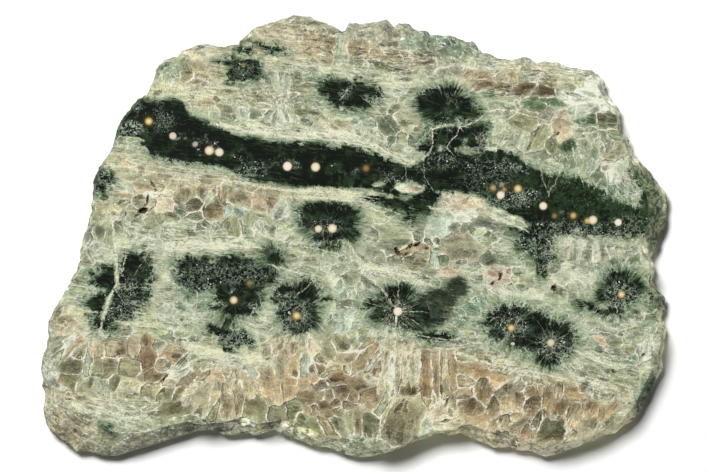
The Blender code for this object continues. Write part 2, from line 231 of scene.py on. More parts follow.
    ("sand", 132, 4.4, 10, 2.4, 6, 0.6), ("tan", 148, 8, 5, 4, 40, 0.6), ("brown", 117, 5, 6, 2.6, 0, 0.5),
    ("fern", 153, 39.4, 3.4, 4.6, 0, 0.8), ("moss", 150, 43.6, 3, 2.6, 0, 0.4),
    ("mist", 19, 50.6, 5, 2.6, 0, 0.5), ("olive", 84, 28, 7, 2.4, 0, 0.5),
    ("tan", 63, 27.8, 7, 2.6, 0, 0.6), ("tan", 119, 17.6, 9, 3, -14, 0.8),
    ("fawn", 132, 14.4, 9, 4, -20, 0.6), ("butter", 47, 27.6, 11, 2.4, -8, 0.8),
    ("sand", 6, 17, 3, 4, 0, 0.6), ("olive", 84, 28.4, 6, 2.4, 0, 0.45), ("tan", 63, 27, 6, 3, 0, 0.4),
    ("tan", 140, 15, 8, 5, 0, 0.3), ("tan", 105, 18.6, 5, 5, 0, 0.8), ("blush", 100.6, 10, 4, 3.4, 0, 0.7),
    ("sand", 88, 21, 4, 7, 0, 0.7), ("sand", 100, 22, 4, 6, 0, 0.7), ("sage", 142, 26, 9, 6, 0, 0.5),
    ("brown", 73, 16.6, 8, 6, 0, 0.5), ("tan", 92, 20, 12, 6, 0, 0.4), ("tan", 100, 27.6, 14, 2, -4, 0.4),
    ("tan", 120, 11, 17, 8, -6, 0.9), ("tan", 82, 20, 12, 8, 0, 0.5), ("sand", 76, 28, 14, 3, -4, 0.6),
    ("sage", 117, 50, 6, 5, 0, 0.5), ("sage", 140, 38, 8, 6, 0, 0.6), ("sage", 134, 50, 8, 5, 0, 0.4),
    # lower right
    ("grey", 88, 48.8, 4.6, 1.8, -4, 0.7), ("olive", 95, 48.8, 3.4, 2.2, 0, 0.75),
    ("ice", 99, 50, 2, 4, 10, 0.8), ("olive", 105, 52.4, 4, 3, 0, 0.6),
    ("grey", 108, 48.8, 3.4, 1.6, -6, 0.7), ("cream", 90, 45.4, 9, 1.3, -14, 0.95),
    ("blush", 103, 46.6, 4.6, 1.7, -10, 0.8), ("teal", 95.6, 40.6, 3.4, 2.6, 0, 0.7),
    ("teal", 109, 36.6, 5, 4, 0, 0.8), ("mist", 109, 43, 5, 2.4, -30, 0.7),
    ("blush", 114, 45.4, 4, 3.4, 0, 0.85), ("pink", 112.2, 45, 1.2, 2, 0, 0.7),
    ("pink", 120.3, 44.4, 1.8, 1.2, 20, 0.9), ("cream", 119, 41.4, 8, 1.1, -10, 0.8),
    ("slate", 112, 49.8, 1.8, 1.5, 0, 0.8), ("sage", 117.6, 49.6, 2.6, 2.6, 0, 0.7),
    ("slate", 117, 53, 2, 2, 0, 0.4), ("sage", 123, 46.6, 3, 3.4, 0, 0.8),
    ("slate", 121.6, 42.4, 1.3, 1.1, 0, 0.5), ("mist", 133, 48, 6, 6.5, 0, 0.85),
    ("white", 137.4, 47.6, 2.2, 3, 0, 0.5), ("sage", 130, 50.6, 2.2, 2, 0, 0.5),
    ("slate", 132.4, 47.4, 0.8, 0.8, 0, 0.7), ("teal", 144.6, 48.6, 6, 2.2, 0, 0.7),
    ("mist", 143, 52.6, 7, 1.6, 0, 0.8), ("mist", 137, 33, 5, 3, -20, 0.6), ("sage", 146, 30, 5, 4, 0, 0.6),
    ("teal", 134, 36.6, 3, 1.6, -30, 0.5), ("white", 151.6, 27, 2.4, 5.6, 0, 0.6),
    ("ice", 153, 33, 2, 3, 0, 0.5), ("olive", 151, 22, 2, 2, 0, 0.5),
    ("pink", 139.8, 29.2, 1.1, 2, 30, 0.9), ("fern", 142.6, 28.4, 1.6, 2, 0, 0.6),
    ("cream", 140.6, 24.4, 5.4, 0.8, -18, 0.8), ("butter", 140.6, 18.6, 6, 1, -24, 0.8),
    ("olive", 141.6, 20.8, 4, 1, -20, 0.7), ("grey", 136, 20.8, 3.6, 1.4, -20, 0.6),
    ("butter", 121, 22, 13, 1.3, -16, 0.95), ("tan", 107, 23.4, 7, 2.8, -12, 0.85),
    ("rust", 109.6, 21.6, 3.8, 1.8, -10, 0.6), ("sand", 90, 22, 7, 7, 0, 0.8),
    ("rust", 97, 20.4, 1.9, 6.4, 4, 0.8), ("tan", 101.4, 20, 2.8, 6, 0, 0.7),
    ("tan", 82.4, 25.6, 3.4, 4, -30, 0.7), ("brown", 84.6, 24.4, 1.6, 3.4, -20, 0.5),
    ("brown", 91.6, 17.2, 2.6, 1.4, 0, 0.7), ("brown", 80.5, 14.4, 4, 2, -10, 0.8),
    ("rust", 84, 14.2, 3, 1.2, -10, 0.5), ("olive", 83, 9.6, 3.6, 2.2, 0, 0.7),
    ("moss", 90.6, 9.6, 4.4, 4.6, -10, 0.75), ("brown", 91, 13, 3, 1.6, 0, 0.5),
    ("slate", 89.6, 4.4, 5, 1.6, 16, 0.7), ("butter", 100.6, 11, 5, 4.6, -20, 0.75),
    ("white", 96.6, 8.6, 1.6, 2.6, 0, 0.5), ("slate", 102.4, 14.4, 1.7, 1, -50, 0.5),
    ("brown", 108.6, 14.2, 4, 3.2, 30, 0.8), ("brown", 114.6, 20.4, 2.6, 1.8, 0, 0.8),
    ("umber", 107, 12, 2, 1.4, 0, 0.5), ("tan", 116, 14.4, 5, 3.6, 0, 0.75),
    ("brown", 125.6, 14, 5.4, 3.6, -10, 0.75), ("rust", 118, 16.8, 2, 1.6, 0, 0.5),
    ("sand", 113.6, 8.8, 5, 1.6, 0, 0.6), ("grey", 114, 5.6, 4, 2, 0, 0.7),
    ("brown", 120.6, 7.6, 3, 1.8, 10, 0.7), ("moss", 127.6, 8, 3.6, 2.6, -20, 0.8),
    ("umber", 130, 5.4, 2.6, 1.8, -30, 0.5), ("grey", 124.6, 2.6, 4, 1.4, 0, 0.7),
    ("tan", 136.6, 8.6, 5, 3.4, -20, 0.8), ("rust", 139.6, 12, 3, 2, 0, 0.5),
    ("sand", 134, 13, 4, 2.4, 0, 0.5), ("blush", 145.4, 13.6, 3.4, 3, 30, 0.6),
    ("brown", 134.6, 17.4, 3.6, 1.8, -10, 0.5), ("tan", 128, 18.4, 5, 1.6, -12, 0.6),
    ("moss", 81, 2.6, 3.6, 1.6, 0, 0.6), ("mist", 86.4, 3.6, 2, 1.6, 30, 0.6),
    # broad tones over all of it
    ("sage", 128, 51, 17, 4, 0, 0.5), ("slate", 139, 51, 6, 3.6, 0, 0.45),
    ("slate", 117, 50.6, 7, 4, 0, 0.3), ("moss", 151.6, 39.4, 4, 4.4, 0, 0.6),
    ("mist", 18.5, 50.6, 5, 3.6, 0, 0.5), ("sand", 36, 17, 38, 6.4, 0, 0.35),
    ("olive", 84, 28, 6, 2.6, 0, 0.5), ("mist", 106.5, 50.6, 4, 4, 0, 0.4),
    ("mist", 139.5, 83, 4, 3.6, 0, 0.4), ("sand", 84.5, 94.6, 6, 3, 0, 0.5),
    ("brown", 118, 5, 5, 2.6, 0, 0.4), ("sand", 18, 61, 5, 3, 0, 0.4), ("brown", 84, 28, 6, 2.4, 0, 0.4),
    ("tan", 62.5, 28, 6, 3, 0, 0.6), ("slate", 139.5, 50.4, 6, 4, 0, 0.4),
    ("brown", 110, 5.4, 9, 2.8, 0, 0.5), ("cream", 96, 6.4, 4, 3, 0, 0.5), ("sand", 7.5, 17, 5, 4, 0, 0.5),
    ("sand", 84.5, 94.6, 6, 3, 0, 0.5), ("sand", 106.5, 94.4, 5, 3, 0, 0.4),
)

# The dark band: x, then its upper and its lower edge
darkBand = (
    (12, 82, 82), (17.5, 85, 80.4), (20, 87, 79.8), (23, 89.2, 79.4), (25, 90, 78.6), (27, 89.8, 77),
    (28.5, 89.6, 75.4), (33, 89.4, 74.7), (35.6, 88.6, 74.3), (37, 85.8, 74), (41, 84, 73.2),
    (45, 82.6, 72.4), (49, 81.2, 71.3), (53, 80.2, 70), (57, 79.2, 68.8), (61, 78.6, 68.2),
    (66, 78.3, 67.8), (71, 78.2, 67.9), (76, 78, 67.4), (80, 77.8, 67.2), (84, 76.2, 66.6), (88, 74.4, 66),
    (92, 73.2, 65.4), (95, 74, 65.4), (98, 76.8, 66), (102, 77.2, 66.6), (107, 75.6, 66.2), (111, 76, 64.9),
    (114, 76.6, 62.2), (118, 75.6, 60.6), (121, 74.2, 59.2), (124, 72, 57), (127, 70.4, 55.6),
    (131, 71, 56), (135, 70, 55.4), (139, 68, 54.8), (142, 65.2, 54.6), (146, 64, 55.2), (150, 62.6, 56.4),
    (153, 61, 56), (157, 60, 55),
)

# Dark blobs, as ellipses: x, y, half width, half height, turn
darkBlobs = (
    (51, 96.8, 4.8, 2.8, 0), (49.4, 98.7, 5.4, 1, 0), (51.6, 102, 2.2, 1, 0), (58, 102.2, 4, 0.8, -10),
    (53.6, 95.4, 2.4, 1.4, -10), (75, 92.8, 6, 1.9, 0), (77, 90.6, 6, 2.8, 0), (79, 88.6, 4, 1.6, 0),
    (82, 91.6, 3.4, 2, -10), (71.6, 91.4, 2, 1.6, 0), (98.4, 88.4, 4.4, 3.6, 0), (103.4, 88, 5, 3.4, 0),
    (107, 86.2, 3.4, 2, -10), (101, 91.6, 4.4, 1.2, 0), (100, 85, 4, 2, 0), (100, 80.6, 3.4, 2.6, 0),
    (106.4, 81.4, 4.6, 2, 0), (109.4, 82.4, 2.4, 1.6, 0), (103, 78.6, 3, 1.6, 0), (71.4, 59.6, 6.6, 4, 0),
    (75.6, 60, 4.2, 3.8, 0), (68, 61.6, 3.4, 1.8, 0), (72, 55.6, 5, 1.8, 0), (77.4, 55.8, 2.4, 1.6, -8),
    (72, 62.2, 7, 1.6, 0), (69.4, 52.6, 3, 0.4, -2), (73.4, 53, 2, 0.6, 0), (58.6, 50.2, 2.6, 2.3, 0),
    (57, 52, 1.2, 1, 0), (18, 46, 2.8, 2.4, 0), (24, 48, 3, 2.8, 0), (17.4, 44.2, 3, 1.6, 0),
    (23.4, 44.6, 4, 2.2, 0), (14.6, 38.4, 3.8, 1.8, 0), (17.4, 44.4, 4.2, 3, 0), (23.5, 47.2, 4.6, 4, 0),
    (16, 39, 4, 2.8, 0), (24, 42, 3.6, 3.4, 0), (20.6, 44.6, 5.4, 3.6, 0), (18.6, 37.6, 4.2, 3.6, 0),
    (21.4, 41.4, 5.6, 2.2, 0), (20.6, 37.4, 3.6, 2, 0), (16.2, 34.6, 3, 2.8, 0), (18.6, 32, 2, 0.8, 0),
    (22.6, 35.4, 1.4, 0.8, 0), (38.6, 48, 4.8, 2.4, 0), (39.4, 44.6, 5, 2.8, 0), (48.2, 48.6, 4.6, 2, 0),
    (46, 45.4, 8, 2.4, 0), (53, 45.4, 6, 3, 0), (56, 46.6, 2.4, 1.8, 0), (48.8, 41.4, 5, 4, 0),
    (49.4, 37.2, 4, 2.2, 0), (53.4, 41, 2.6, 3, 0), (44.6, 37.4, 2, 1, 0), (45, 31.8, 3.2, 1.2, -20),
    (48.6, 30, 4.4, 1.9, -8), (47, 34, 1.6, 1.6, 0), (48.4, 26.6, 2.6, 0.35, -14), (64.6, 35.8, 5, 4.8, 0),
    (66.4, 41.6, 3.4, 3, 0), (61.8, 42, 2.8, 1.6, 0), (60, 40, 2.4, 0.8, 0), (70, 39.8, 3.6, 0.5, 0),
    (89.4, 37.2, 4.8, 4.6, 0), (89.6, 41.4, 4, 2, 0), (84.2, 38.6, 3.4, 1.3, 6), (85, 35.4, 2.4, 1.8, 0),
    (93, 37, 3, 2, 0), (95.4, 36, 2, 2.4, 0), (98.6, 30.6, 4.6, 0.9, -4), (93, 32.6, 4, 0.7, -12),
    (117, 34.2, 4.8, 3.8, 0), (119.6, 36.4, 3.6, 1.6, 0), (114, 31, 2.6, 2, 0), (120, 30, 3.6, 2.8, 0),
    (127.6, 29.6, 6.2, 4.8, 0), (127, 25, 3, 2.2, 0), (124, 34.4, 3.4, 3, 0), (131, 31.8, 2.2, 2.6, 0),
    (112.4, 33.6, 1.6, 1.4, 0), (145, 42, 4.6, 4, 0), (144.4, 46, 2.8, 1.2, 0), (148.6, 43.4, 2.2, 2.2, 0),
    (143.4, 36.6, 2.6, 1.4, 0), (141, 41, 2, 2, 0), (123.6, 54.4, 4.6, 3.8, 0), (126, 50.2, 2.4, 2, 0),
    (125.6, 47.2, 0.9, 1.4, 0), (138.6, 37.4, 4, 0.8, -26), (135.4, 38.8, 1.6, 0.7, -20),
    (154.6, 40.2, 2.2, 1.9, -30), (15.6, 69.2, 2.2, 2.8, 0), (151.2, 15.6, 1.1, 4.6, -22),
    (17, 7.4, 1.2, 0.6, -40), (90, 62.6, 4, 1.2, -14), (86, 64.2, 6, 1, -10), (119.4, 56.8, 2.6, 0.5, -20),
    (152.6, 64, 2.4, 5, 14), (153.4, 56, 1.6, 3, 0), (151.6, 69, 2, 4, 40), (97, 77.6, 3, 1.4, 0),
    (95, 62.6, 3, 2.4, 0), (97.6, 65, 3, 1.6, 0), (91.6, 60.4, 2, 1.2, -20), (109, 78.6, 3, 1.2, 0),
)

# Pale bodies that stand inside the dark: x, y, half width, half height, turn
paleBodies = (
    (72, 65.8, 9.4, 1.8, -2), (92.6, 67.4, 4, 1.5, -4), (84.6, 68.4, 1.6, 0.5, 8), (22, 79.4, 4, 0.9, 0),
    (106, 62.6, 7, 3.4, -12), (116, 60.2, 6, 1.7, -24), (82, 66.4, 3.4, 0.7, -14), (101, 82.9, 3, 0.3, 4),
    (19.4, 47, 0.5, 6, 2), (17.2, 38.6, 0.6, 4, -22),
)

# Round orbs: x, y, width, how yellow, how bright
orbs = (
    (27.3, 84.1, 2.2, 0.9, 1), (33.3, 80.5, 2, 0.1, 0.8), (38.9, 78.4, 1.6, 0, 0.45),
    (42.4, 76.8, 2.5, 0.35, 1), (44.9, 76.4, 2.3, 0.15, 0.95), (61.9, 72.9, 2.5, 0.1, 1),
    (68.9, 72.7, 2.5, 0.25, 1), (81.5, 72.4, 2.2, 1, 0.3), (50.9, 98.1, 1.5, 1, 0.3),
    (69.6, 57.3, 2, 0.3, 0.95), (73.1, 57.4, 2.4, 0.25, 1), (113.2, 67.5, 2, 1, 0.5),
    (115.3, 68.3, 1.5, 0.4, 0.35), (116, 67.1, 1.6, 1, 0.4), (115.1, 65.7, 2.2, 0.15, 1),
    (119.4, 67.3, 2.3, 0.85, 0.95), (125.7, 63, 2.2, 0.2, 1), (128.5, 60.5, 1.8, 1, 0.3),
    (133.2, 60.6, 2, 1, 0.7), (136.7, 59.3, 1.8, 1, 0.8), (138.1, 59.5, 2.4, 0.3, 1),
    (144.4, 58.9, 2, 0.1, 1), (48.5, 39.5, 2.2, 0.6, 1), (52.4, 43.8, 2, 1, 0.3),
    (64.2, 35.6, 2.3, 0.9, 0.95), (89.4, 36.7, 2.4, 0.1, 1), (117.7, 32.6, 2, 0.9, 0.95),
    (118.1, 28.6, 1.2, 0.1, 0.8), (127.6, 28.9, 2.1, 0.35, 0.85), (145.2, 40.9, 2, 0.75, 1),
)

# Blobs whose fibres run out from one point: x, y, reach
starBlobs = (
    (72.5, 58.6, 12), (58.9, 50, 5), (48.7, 39.6, 9), (64.3, 36.5, 8.5), (89.4, 37, 11), (117.6, 33.4, 9),
    (127.5, 29, 9), (145.2, 41.4, 9), (124.4, 53.6, 7), (102, 87.4, 10),
)

# Where white specks crowd in the dark: x, y, half width, half height, strength
specks = (
    (22.6, 82.3, 3.6, 2, 1.5), (50, 46, 9, 3.4, 0.55), (40, 45, 5, 4, 0.5), (22.4, 42.4, 3.4, 2.4, 1),
    (20, 36, 4, 3, 0.7), (48, 30, 5, 1.8, 0.8), (124, 53, 4, 3.4, 0.8), (120.6, 65.6, 4.4, 1.8, 1.1),
    (134, 56.4, 7, 1.4, 0.9), (101, 74, 4, 2, 0.6), (110, 73, 5, 2, 0.5), (52.6, 71.6, 4, 1.6, 0.8),
    (64, 36, 4, 3.6, 0.8), (72, 57.6, 5, 2.6, 0.5), (117.6, 33, 4.4, 3.4, 0.8), (127.6, 28, 4.4, 3.6, 0.8),
    (145.2, 41, 4.4, 3.6, 0.9), (89.6, 37.4, 4.4, 3, 0.5), (51, 97, 3, 2, 0.5), (89, 69.6, 4, 1, 0.7),
    (151, 56, 4, 3, 0.6), (133, 57.4, 14, 2, 0.65), (126, 53, 5, 4, 0.6), (147, 58, 5, 3, 0.6),
    (116, 64, 8, 2, 0.7), (112, 70, 7, 6, 0.4), (31, 84, 3, 3, 0.5), (16, 70, 2, 2, 0.9),
    (151, 15, 1.4, 3, 0.7), (18, 7, 2, 1.4, 0.6),
)

# White veins and cream stripes: width, brightness, then the places that they run through
veins = (
    (1.1, 0.8, (44, 83.8), (50, 82.2), (56, 81), (62, 80.2), (68, 80), (74, 80.6)),
    (0.8, 0.8, (50, 83.8), (58, 82.4), (66, 81.8)),
    (1.2, 0.85, (72, 81.8), (78, 80.8), (83, 78.8), (87, 76), (92, 74.4)),
    (0.6, 0.8, (76, 79.2), (82, 78), (86, 75.4)),
    (1, 0.7, (46, 69.4), (58, 67.5), (66, 66.6), (76, 66), (84, 65)),
    (0.7, 0.7, (66, 65.2), (76, 64.6), (84, 63.4), (90, 61)),
    (1.3, 0.8, (33, 53.6), (40, 53.8), (48, 53.4), (56, 52.2)),
    (0.8, 0.7, (34, 52.2), (42, 52.5), (50, 51.9)), (0.7, 0.6, (37, 55.2), (46, 55.4), (54, 54.6)),
    (1, 0.85, (82.6, 47.6), (88, 46.6), (93, 45), (98, 43.4)), (0.6, 0.8, (84, 46), (90, 44.7), (96, 43)),
    (0.6, 0.7, (86, 48.3), (92, 46.9), (98, 45)),
    (1, 0.8, (104, 26.6), (110, 24.4), (116, 22.9), (122, 21.7), (128, 20.4), (134, 19)),
    (0.6, 0.7, (112, 22.4), (120, 20.9), (126, 19.6)),
    (1.2, 0.75, (36, 28.8), (42, 27.4), (48, 25.6), (54, 25), (60, 25.6)),
    (0.8, 0.7, (38, 27), (44, 25.5), (50, 24.2), (55, 23.6)),
    (0.7, 0.7, (134, 26.6), (140, 24.7), (146, 22.7)), (0.8, 0.7, (134, 20.6), (140, 18.4), (146, 16.3)),
    (1, 0.6, (70, 96.9), (78, 95.7), (86, 94.6), (94, 93.5)),
    (0.7, 0.6, (64, 98.4), (72, 97.6), (80, 96.6)), (1, 0.7, (20, 34.2), (25, 33.4), (30, 32.6)),
    (0.7, 0.7, (24, 36.8), (28, 36), (32, 35)), (1, 0.6, (8, 38), (12, 36.8), (16, 36.4)),
    (0.7, 0.7, (56, 55.6), (62, 53.9), (68, 52.4), (74, 51)), (0.6, 0.7, (58, 48), (64, 46.8), (70, 45.2)),
    (0.7, 0.6, (110, 43.8), (116, 41.8), (122, 40.5), (128, 39)),
    (1, 0.8, (98, 62.6), (104, 61), (110, 61.6)), (0.7, 0.7, (112, 60.6), (118, 58.6), (122, 56.4)),
    (0.6, 0.6, (92, 31.2), (100, 29.6), (108, 29.8)),
    (0.5, 0.9, (19.4, 47), (18.8, 53), (18, 58.6), (17.6, 61)),
    (0.5, 0.9, (20.6, 46), (21.6, 52), (22, 57.4)),
    (0.5, 0.95, (89, 35.4), (88.7, 30), (88.5, 24), (88, 17.4)),
    (0.5, 0.9, (88.8, 16), (86.4, 10), (84, 4.4)), (0.35, 0.9, (98.8, 99.8), (99.3, 96), (100, 91.6)),
    (0.5, 0.7, (108, 100), (105.6, 95.4), (103.8, 91.2)),
    (0.5, 0.95, (97.4, 82.2), (99.6, 83), (103, 83.3), (104.6, 82.4), (107, 83.2),
        (109.6, 84.3), (111.4, 86.2)),
    (0.7, 0.9, (111.4, 86.2), (115, 87.1), (118.6, 87), (121, 86), (124.4, 85), (127, 84.2)),
    (0.6, 0.9, (133.6, 81), (137, 81.2), (141, 82.2), (145.2, 81.8)),
    (0.4, 0.9, (104.8, 82.6), (104, 80.4), (101.4, 78), (103, 76.2)),
    (0.5, 0.8, (97.5, 82.2), (98, 80.4), (97.6, 79)), (0.35, 0.85, (133, 77.6), (134.4, 72), (135.8, 68.6)),
    (0.35, 0.6, (124.2, 75), (127, 65.4)), (0.35, 0.6, (130.4, 72.4), (126.6, 65.6)),
    (0.5, 0.8, (148, 76), (144, 72.6), (139, 73.6)), (0.45, 0.8, (143.4, 72), (146.6, 69.6), (149, 68)),
    (0.4, 0.8, (142, 72), (138.4, 67.4)), (0.4, 0.7, (144.6, 66.4), (143.6, 70)),
    (0.4, 0.7, (138, 75), (141, 73), (146.6, 74.4)),
    (0.9, 0.7, (15, 32), (16.8, 37), (17.6, 40.6), (19.6, 43.6), (19.3, 46.2), (19.3, 50), (18.6, 56)),
    (0.5, 0.6, (21.6, 55), (21.3, 50), (20.8, 46)), (0.35, 0.5, (29, 54), (26.6, 50), (24, 46)),
    (0.35, 0.5, (19, 42), (21.6, 38.6)), (0.7, 0.7, (77.6, 53.4), (81, 48), (86, 41.4), (89.4, 36.7)),
    (0.35, 0.7, (79.6, 46.4), (84.6, 43)), (0.25, 0.5, (89.4, 36.7), (80, 39.7)),
    (0.25, 0.7, (89.4, 36.7), (89.6, 42.4)), (0.8, 0.85, (89.2, 36), (88.8, 31), (88.4, 24), (88.8, 14)),
    (0.3, 0.8, (89.4, 36.7), (96, 36.4)), (0.3, 0.7, (89.4, 36.7), (93.6, 38.4)),
    (0.3, 0.7, (91.4, 35.4), (94.6, 33.8)), (0.6, 0.7, (90.4, 27), (90, 19)),
    (0.5, 0.7, (93.6, 27), (93.8, 19)), (0.5, 0.7, (85, 28), (85.6, 22), (84.6, 16)),
    (0.9, 0.6, (92.4, 26), (92.6, 17.6)), (0.6, 0.8, (88.6, 14.6), (86.4, 10), (84.4, 4)),
    (0.5, 0.7, (88.8, 15), (92, 15.6), (99, 14.6)), (0.7, 0.8, (60, 87.8), (57.4, 91.6), (56, 94.6)),
    (0.6, 0.8, (60.6, 88), (63, 92), (62.4, 97)), (0.5, 0.8, (60, 87.6), (56, 83.6)),
    (0.5, 0.7, (60.6, 87.6), (63.6, 84)), (0.4, 0.7, (60, 87.8), (65, 90.4)),
    (0.4, 0.6, (60, 87.6), (54, 87.2)), (0.6, 0.6, (60.4, 87.6), (60, 83.6)),
    (0.4, 0.7, (62.4, 30.4), (60.6, 27)), (0.6, 0.8, (66, 31), (67.4, 26), (69, 21)),
    (0.7, 0.8, (67.4, 31), (70, 26.6), (73, 23)), (0.4, 0.6, (64, 31), (63.4, 26)),
    (0.5, 0.7, (60, 30), (58, 24), (57.6, 21)), (0.5, 0.6, (64.6, 41), (68, 44), (72, 45.8)),
    (0.3, 0.5, (42, 95), (42.2, 91.4), (43, 88)), (0.4, 0.5, (38, 95.4), (44, 97.6)),
    (0.35, 0.6, (143.8, 38.6), (144.2, 36.6), (143.6, 34.8)), (0.5, 0.8, (30, 55), (33, 50.6)),
    (0.5, 0.5, (71, 55), (70.6, 58)), (0.5, 0.6, (39.4, 41), (38.6, 34)),
    (0.5, 0.5, (36.6, 39), (36.4, 34)), (0.6, 0.7, (12, 31), (8, 28), (4.6, 24)),
    (0.45, 0.6, (12.6, 31), (10, 27), (8, 24)), (0.6, 0.7, (13.4, 29.6), (13.6, 25), (12.6, 20.6)),
    (0.4, 0.5, (12, 32), (6, 31)), (0.35, 0.5, (12, 32.6), (7, 34.6)),
    (0.3, 0.5, (98, 67.4), (95.6, 70.6), (96, 75)), (0.5, 0.6, (96, 75), (98.6, 78), (97.4, 80.6)),
    (0.35, 0.5, (91, 74), (91.6, 69.6)), (0.35, 0.6, (117.4, 32.6), (114.6, 35.6), (112.4, 34)),
    (0.35, 0.6, (117.6, 32.6), (115.4, 29)), (0.35, 0.6, (118, 32.8), (121, 36)),
    (0.35, 0.6, (118.4, 32.6), (121.6, 32)), (0.35, 0.6, (127.6, 28.6), (124.4, 26.6)),
    (0.3, 0.6, (127.8, 28), (130, 24.6)), (0.3, 0.6, (128, 29.2), (131, 30.4)),
    (0.4, 0.6, (111, 99.4), (106.6, 94.4), (104.6, 92.6)), (0.5, 0.5, (92.6, 98), (95, 93.6)),
    (0.4, 0.5, (93.4, 103), (93, 98.6)), (0.35, 0.6, (77, 92), (75, 90), (73.5, 88.5)),
    (0.4, 0.6, (81, 90), (86, 84.6), (90, 80)), (0.4, 0.6, (84.6, 88.6), (90, 85.6), (95, 86)),
)

# Green haze round the dark: x, y, half width, half height, turn, strength
hazes = (
    (97.6, 37, 7.4, 6.2, 0, 2.5), (104.4, 42.6, 5.2, 4.4, 10, 2.2), (100.4, 39.6, 7, 4.8, 18, 2.5),
    (89, 38.5, 9.5, 8.5, 0, 0.9), (101, 38, 10, 8, 20, 0.75), (106, 41, 5, 5, 0, 0.6),
    (117.5, 33.5, 8, 7.5, 0, 0.85), (126.5, 30, 9.5, 8.5, -20, 0.85), (145, 42, 8.5, 8, 0, 0.75),
    (137, 37, 7, 3, -26, 0.7), (153.6, 40, 4.5, 4, -30, 0.8), (65, 38, 9, 9, 0, 0.8),
    (48, 43, 15, 9, 0, 0.75), (38, 42, 8, 7, 0, 0.6), (20, 42, 9, 9, 30, 0.6), (59, 50.4, 6, 5, 0, 0.75),
    (73, 59, 12, 6.5, 0, 0.8), (51, 98, 7, 4.6, 0, 0.6), (78, 91, 10, 5, -12, 0.75),
    (102, 87, 9, 7.5, 0, 0.8), (105, 80.5, 10, 5, 0, 0.8), (92, 77, 7, 4, -14, 0.8),
    (88, 88.5, 6, 3, -10, 0.5), (124, 52, 8, 7, -40, 0.8), (30, 86, 9, 6, -20, 0.6),
    (52, 83.4, 20, 3.6, -12, 0.5), (128, 73, 20, 4, -6, 0.65), (150, 60, 6, 11, 10, 0.9),
    (90, 63, 12, 3.4, -10, 0.75), (97, 63, 5, 4, 0, 0.8), (48, 31, 7, 3.6, -10, 0.5),
    (16, 70, 4, 5, 0, 0.7), (18, 7.6, 3, 1.8, -40, 0.6), (62, 70.6, 30, 2.6, -6, 0.4),
    (36, 76, 10, 3, -10, 0.4), (152, 15.4, 2.2, 5, -22, 0.7),
)

# Sprays of fine pale lines from one point: x, y, nearest and farthest reach, first and last angle,
# how many, width, brightness
sprays = (
    (60, 88, 0.5, 6, 0, 360, 22, 0.35, 0.8), (59.5, 89, 3, 9, 60, 130, 10, 0.35, 0.6),
    (60.5, 86, 1, 5, 225, 320, 9, 0.42, 0.7), (47, 27.5, 3.6, 7, 190, 350, 26, 0.32, 0.7),
    (47, 30, 6, 17, 205, 330, 20, 0.28, 0.6), (13.5, 32.5, 1, 12, 180, 300, 20, 0.35, 0.65),
    (65, 36, 5, 12, 230, 310, 14, 0.35, 0.7), (64.3, 36, 1, 6.5, 200, 340, 7, 0.21, 0.35),
    (88.8, 37, 1.2, 6, 0, 360, 12, 0.17, 0.35), (88.6, 40, 6, 16, 255, 285, 10, 0.35, 0.6),
    (88.6, 44, 16, 26, 260, 284, 14, 0.35, 0.55), (117.6, 32.8, 1.2, 5.5, 0, 360, 9, 0.17, 0.35),
    (127.6, 28.9, 1.2, 6, 0, 360, 9, 0.17, 0.35), (145.2, 41.2, 1.3, 5, 0, 360, 9, 0.17, 0.35),
    (145.2, 41.2, 7, 11, 0, 360, 30, 0.24, 0.5), (143.2, 71.6, 0.5, 6, 0, 360, 16, 0.35, 0.65),
    (139, 66, 10.5, 19, 240, 300, 30, 0.22, 0.7), (118, 20, 0, 5, 60, 130, 6, 0.24, 0.5),
    (130, 50, 3, 7, 0, 360, 24, 0.28, 0.55), (110, 78, 0, 5, 60, 120, 8, 0.21, 0.5),
    (89.6, 55, 0, 6, 30, 60, 4, 0.24, 0.5), (101, 92, 3, 9, 60, 115, 6, 0.24, 0.5),
)

# Pits in the polished face: x, y, length, width, depth, turn
pits = (
    (25.8, 61.8, 2.3, 1.5, 1.6, 25), (27, 64.6, 2.8, 0.7, 1, 75), (28.3, 68.3, 2.4, 0.7, 0.9, -55),
    (93, 67.4, 5, 1.4, 0.2, 0), (89.2, 51.8, 3.6, 0.7, 1.4, -58), (92.4, 53, 2.6, 0.6, 1.2, 44),
    (94.2, 53.4, 2.6, 0.7, 1.3, 20), (91.4, 50.8, 1.8, 0.4, 0.8, 60), (96.8, 52.4, 1.6, 0.4, 0.7, -30),
    (115, 45.4, 2.2, 0.7, 1.2, 84), (114, 46, 4, 2.2, 0.26, 0), (119.6, 44, 3.4, 1.2, 0.24, 0),
    (93.6, 52.8, 5, 1.2, 0.24, 15), (117.6, 43.6, 2, 0.4, 0.6, 10), (113.1, 43.5, 1.1, 0.9, 0.9, 10),
    (128.3, 42.5, 1.6, 1.3, 1.4, 30), (150.7, 25.8, 1.2, 1, 0.9, 0), (129.4, 81, 1, 0.7, 0.9, 60),
    (130.4, 82.8, 7, 4.2, 0.32, -25), (126, 84.4, 3.4, 1.6, 0.28, -25), (131, 86, 2.4, 1.6, 0.26, 0),
    (134.6, 81.2, 3, 1.2, 0.24, 5), (31.3, 20, 2.8, 0.5, 0.9, 52), (24.4, 60.6, 1.6, 0.6, 0.8, 40),
    (26.6, 63.2, 1.2, 0.5, 0.7, 70), (29, 66.8, 1.4, 0.4, 0.6, -50), (28.4, 62.6, 1.6, 0.3, 0.5, 30),
)

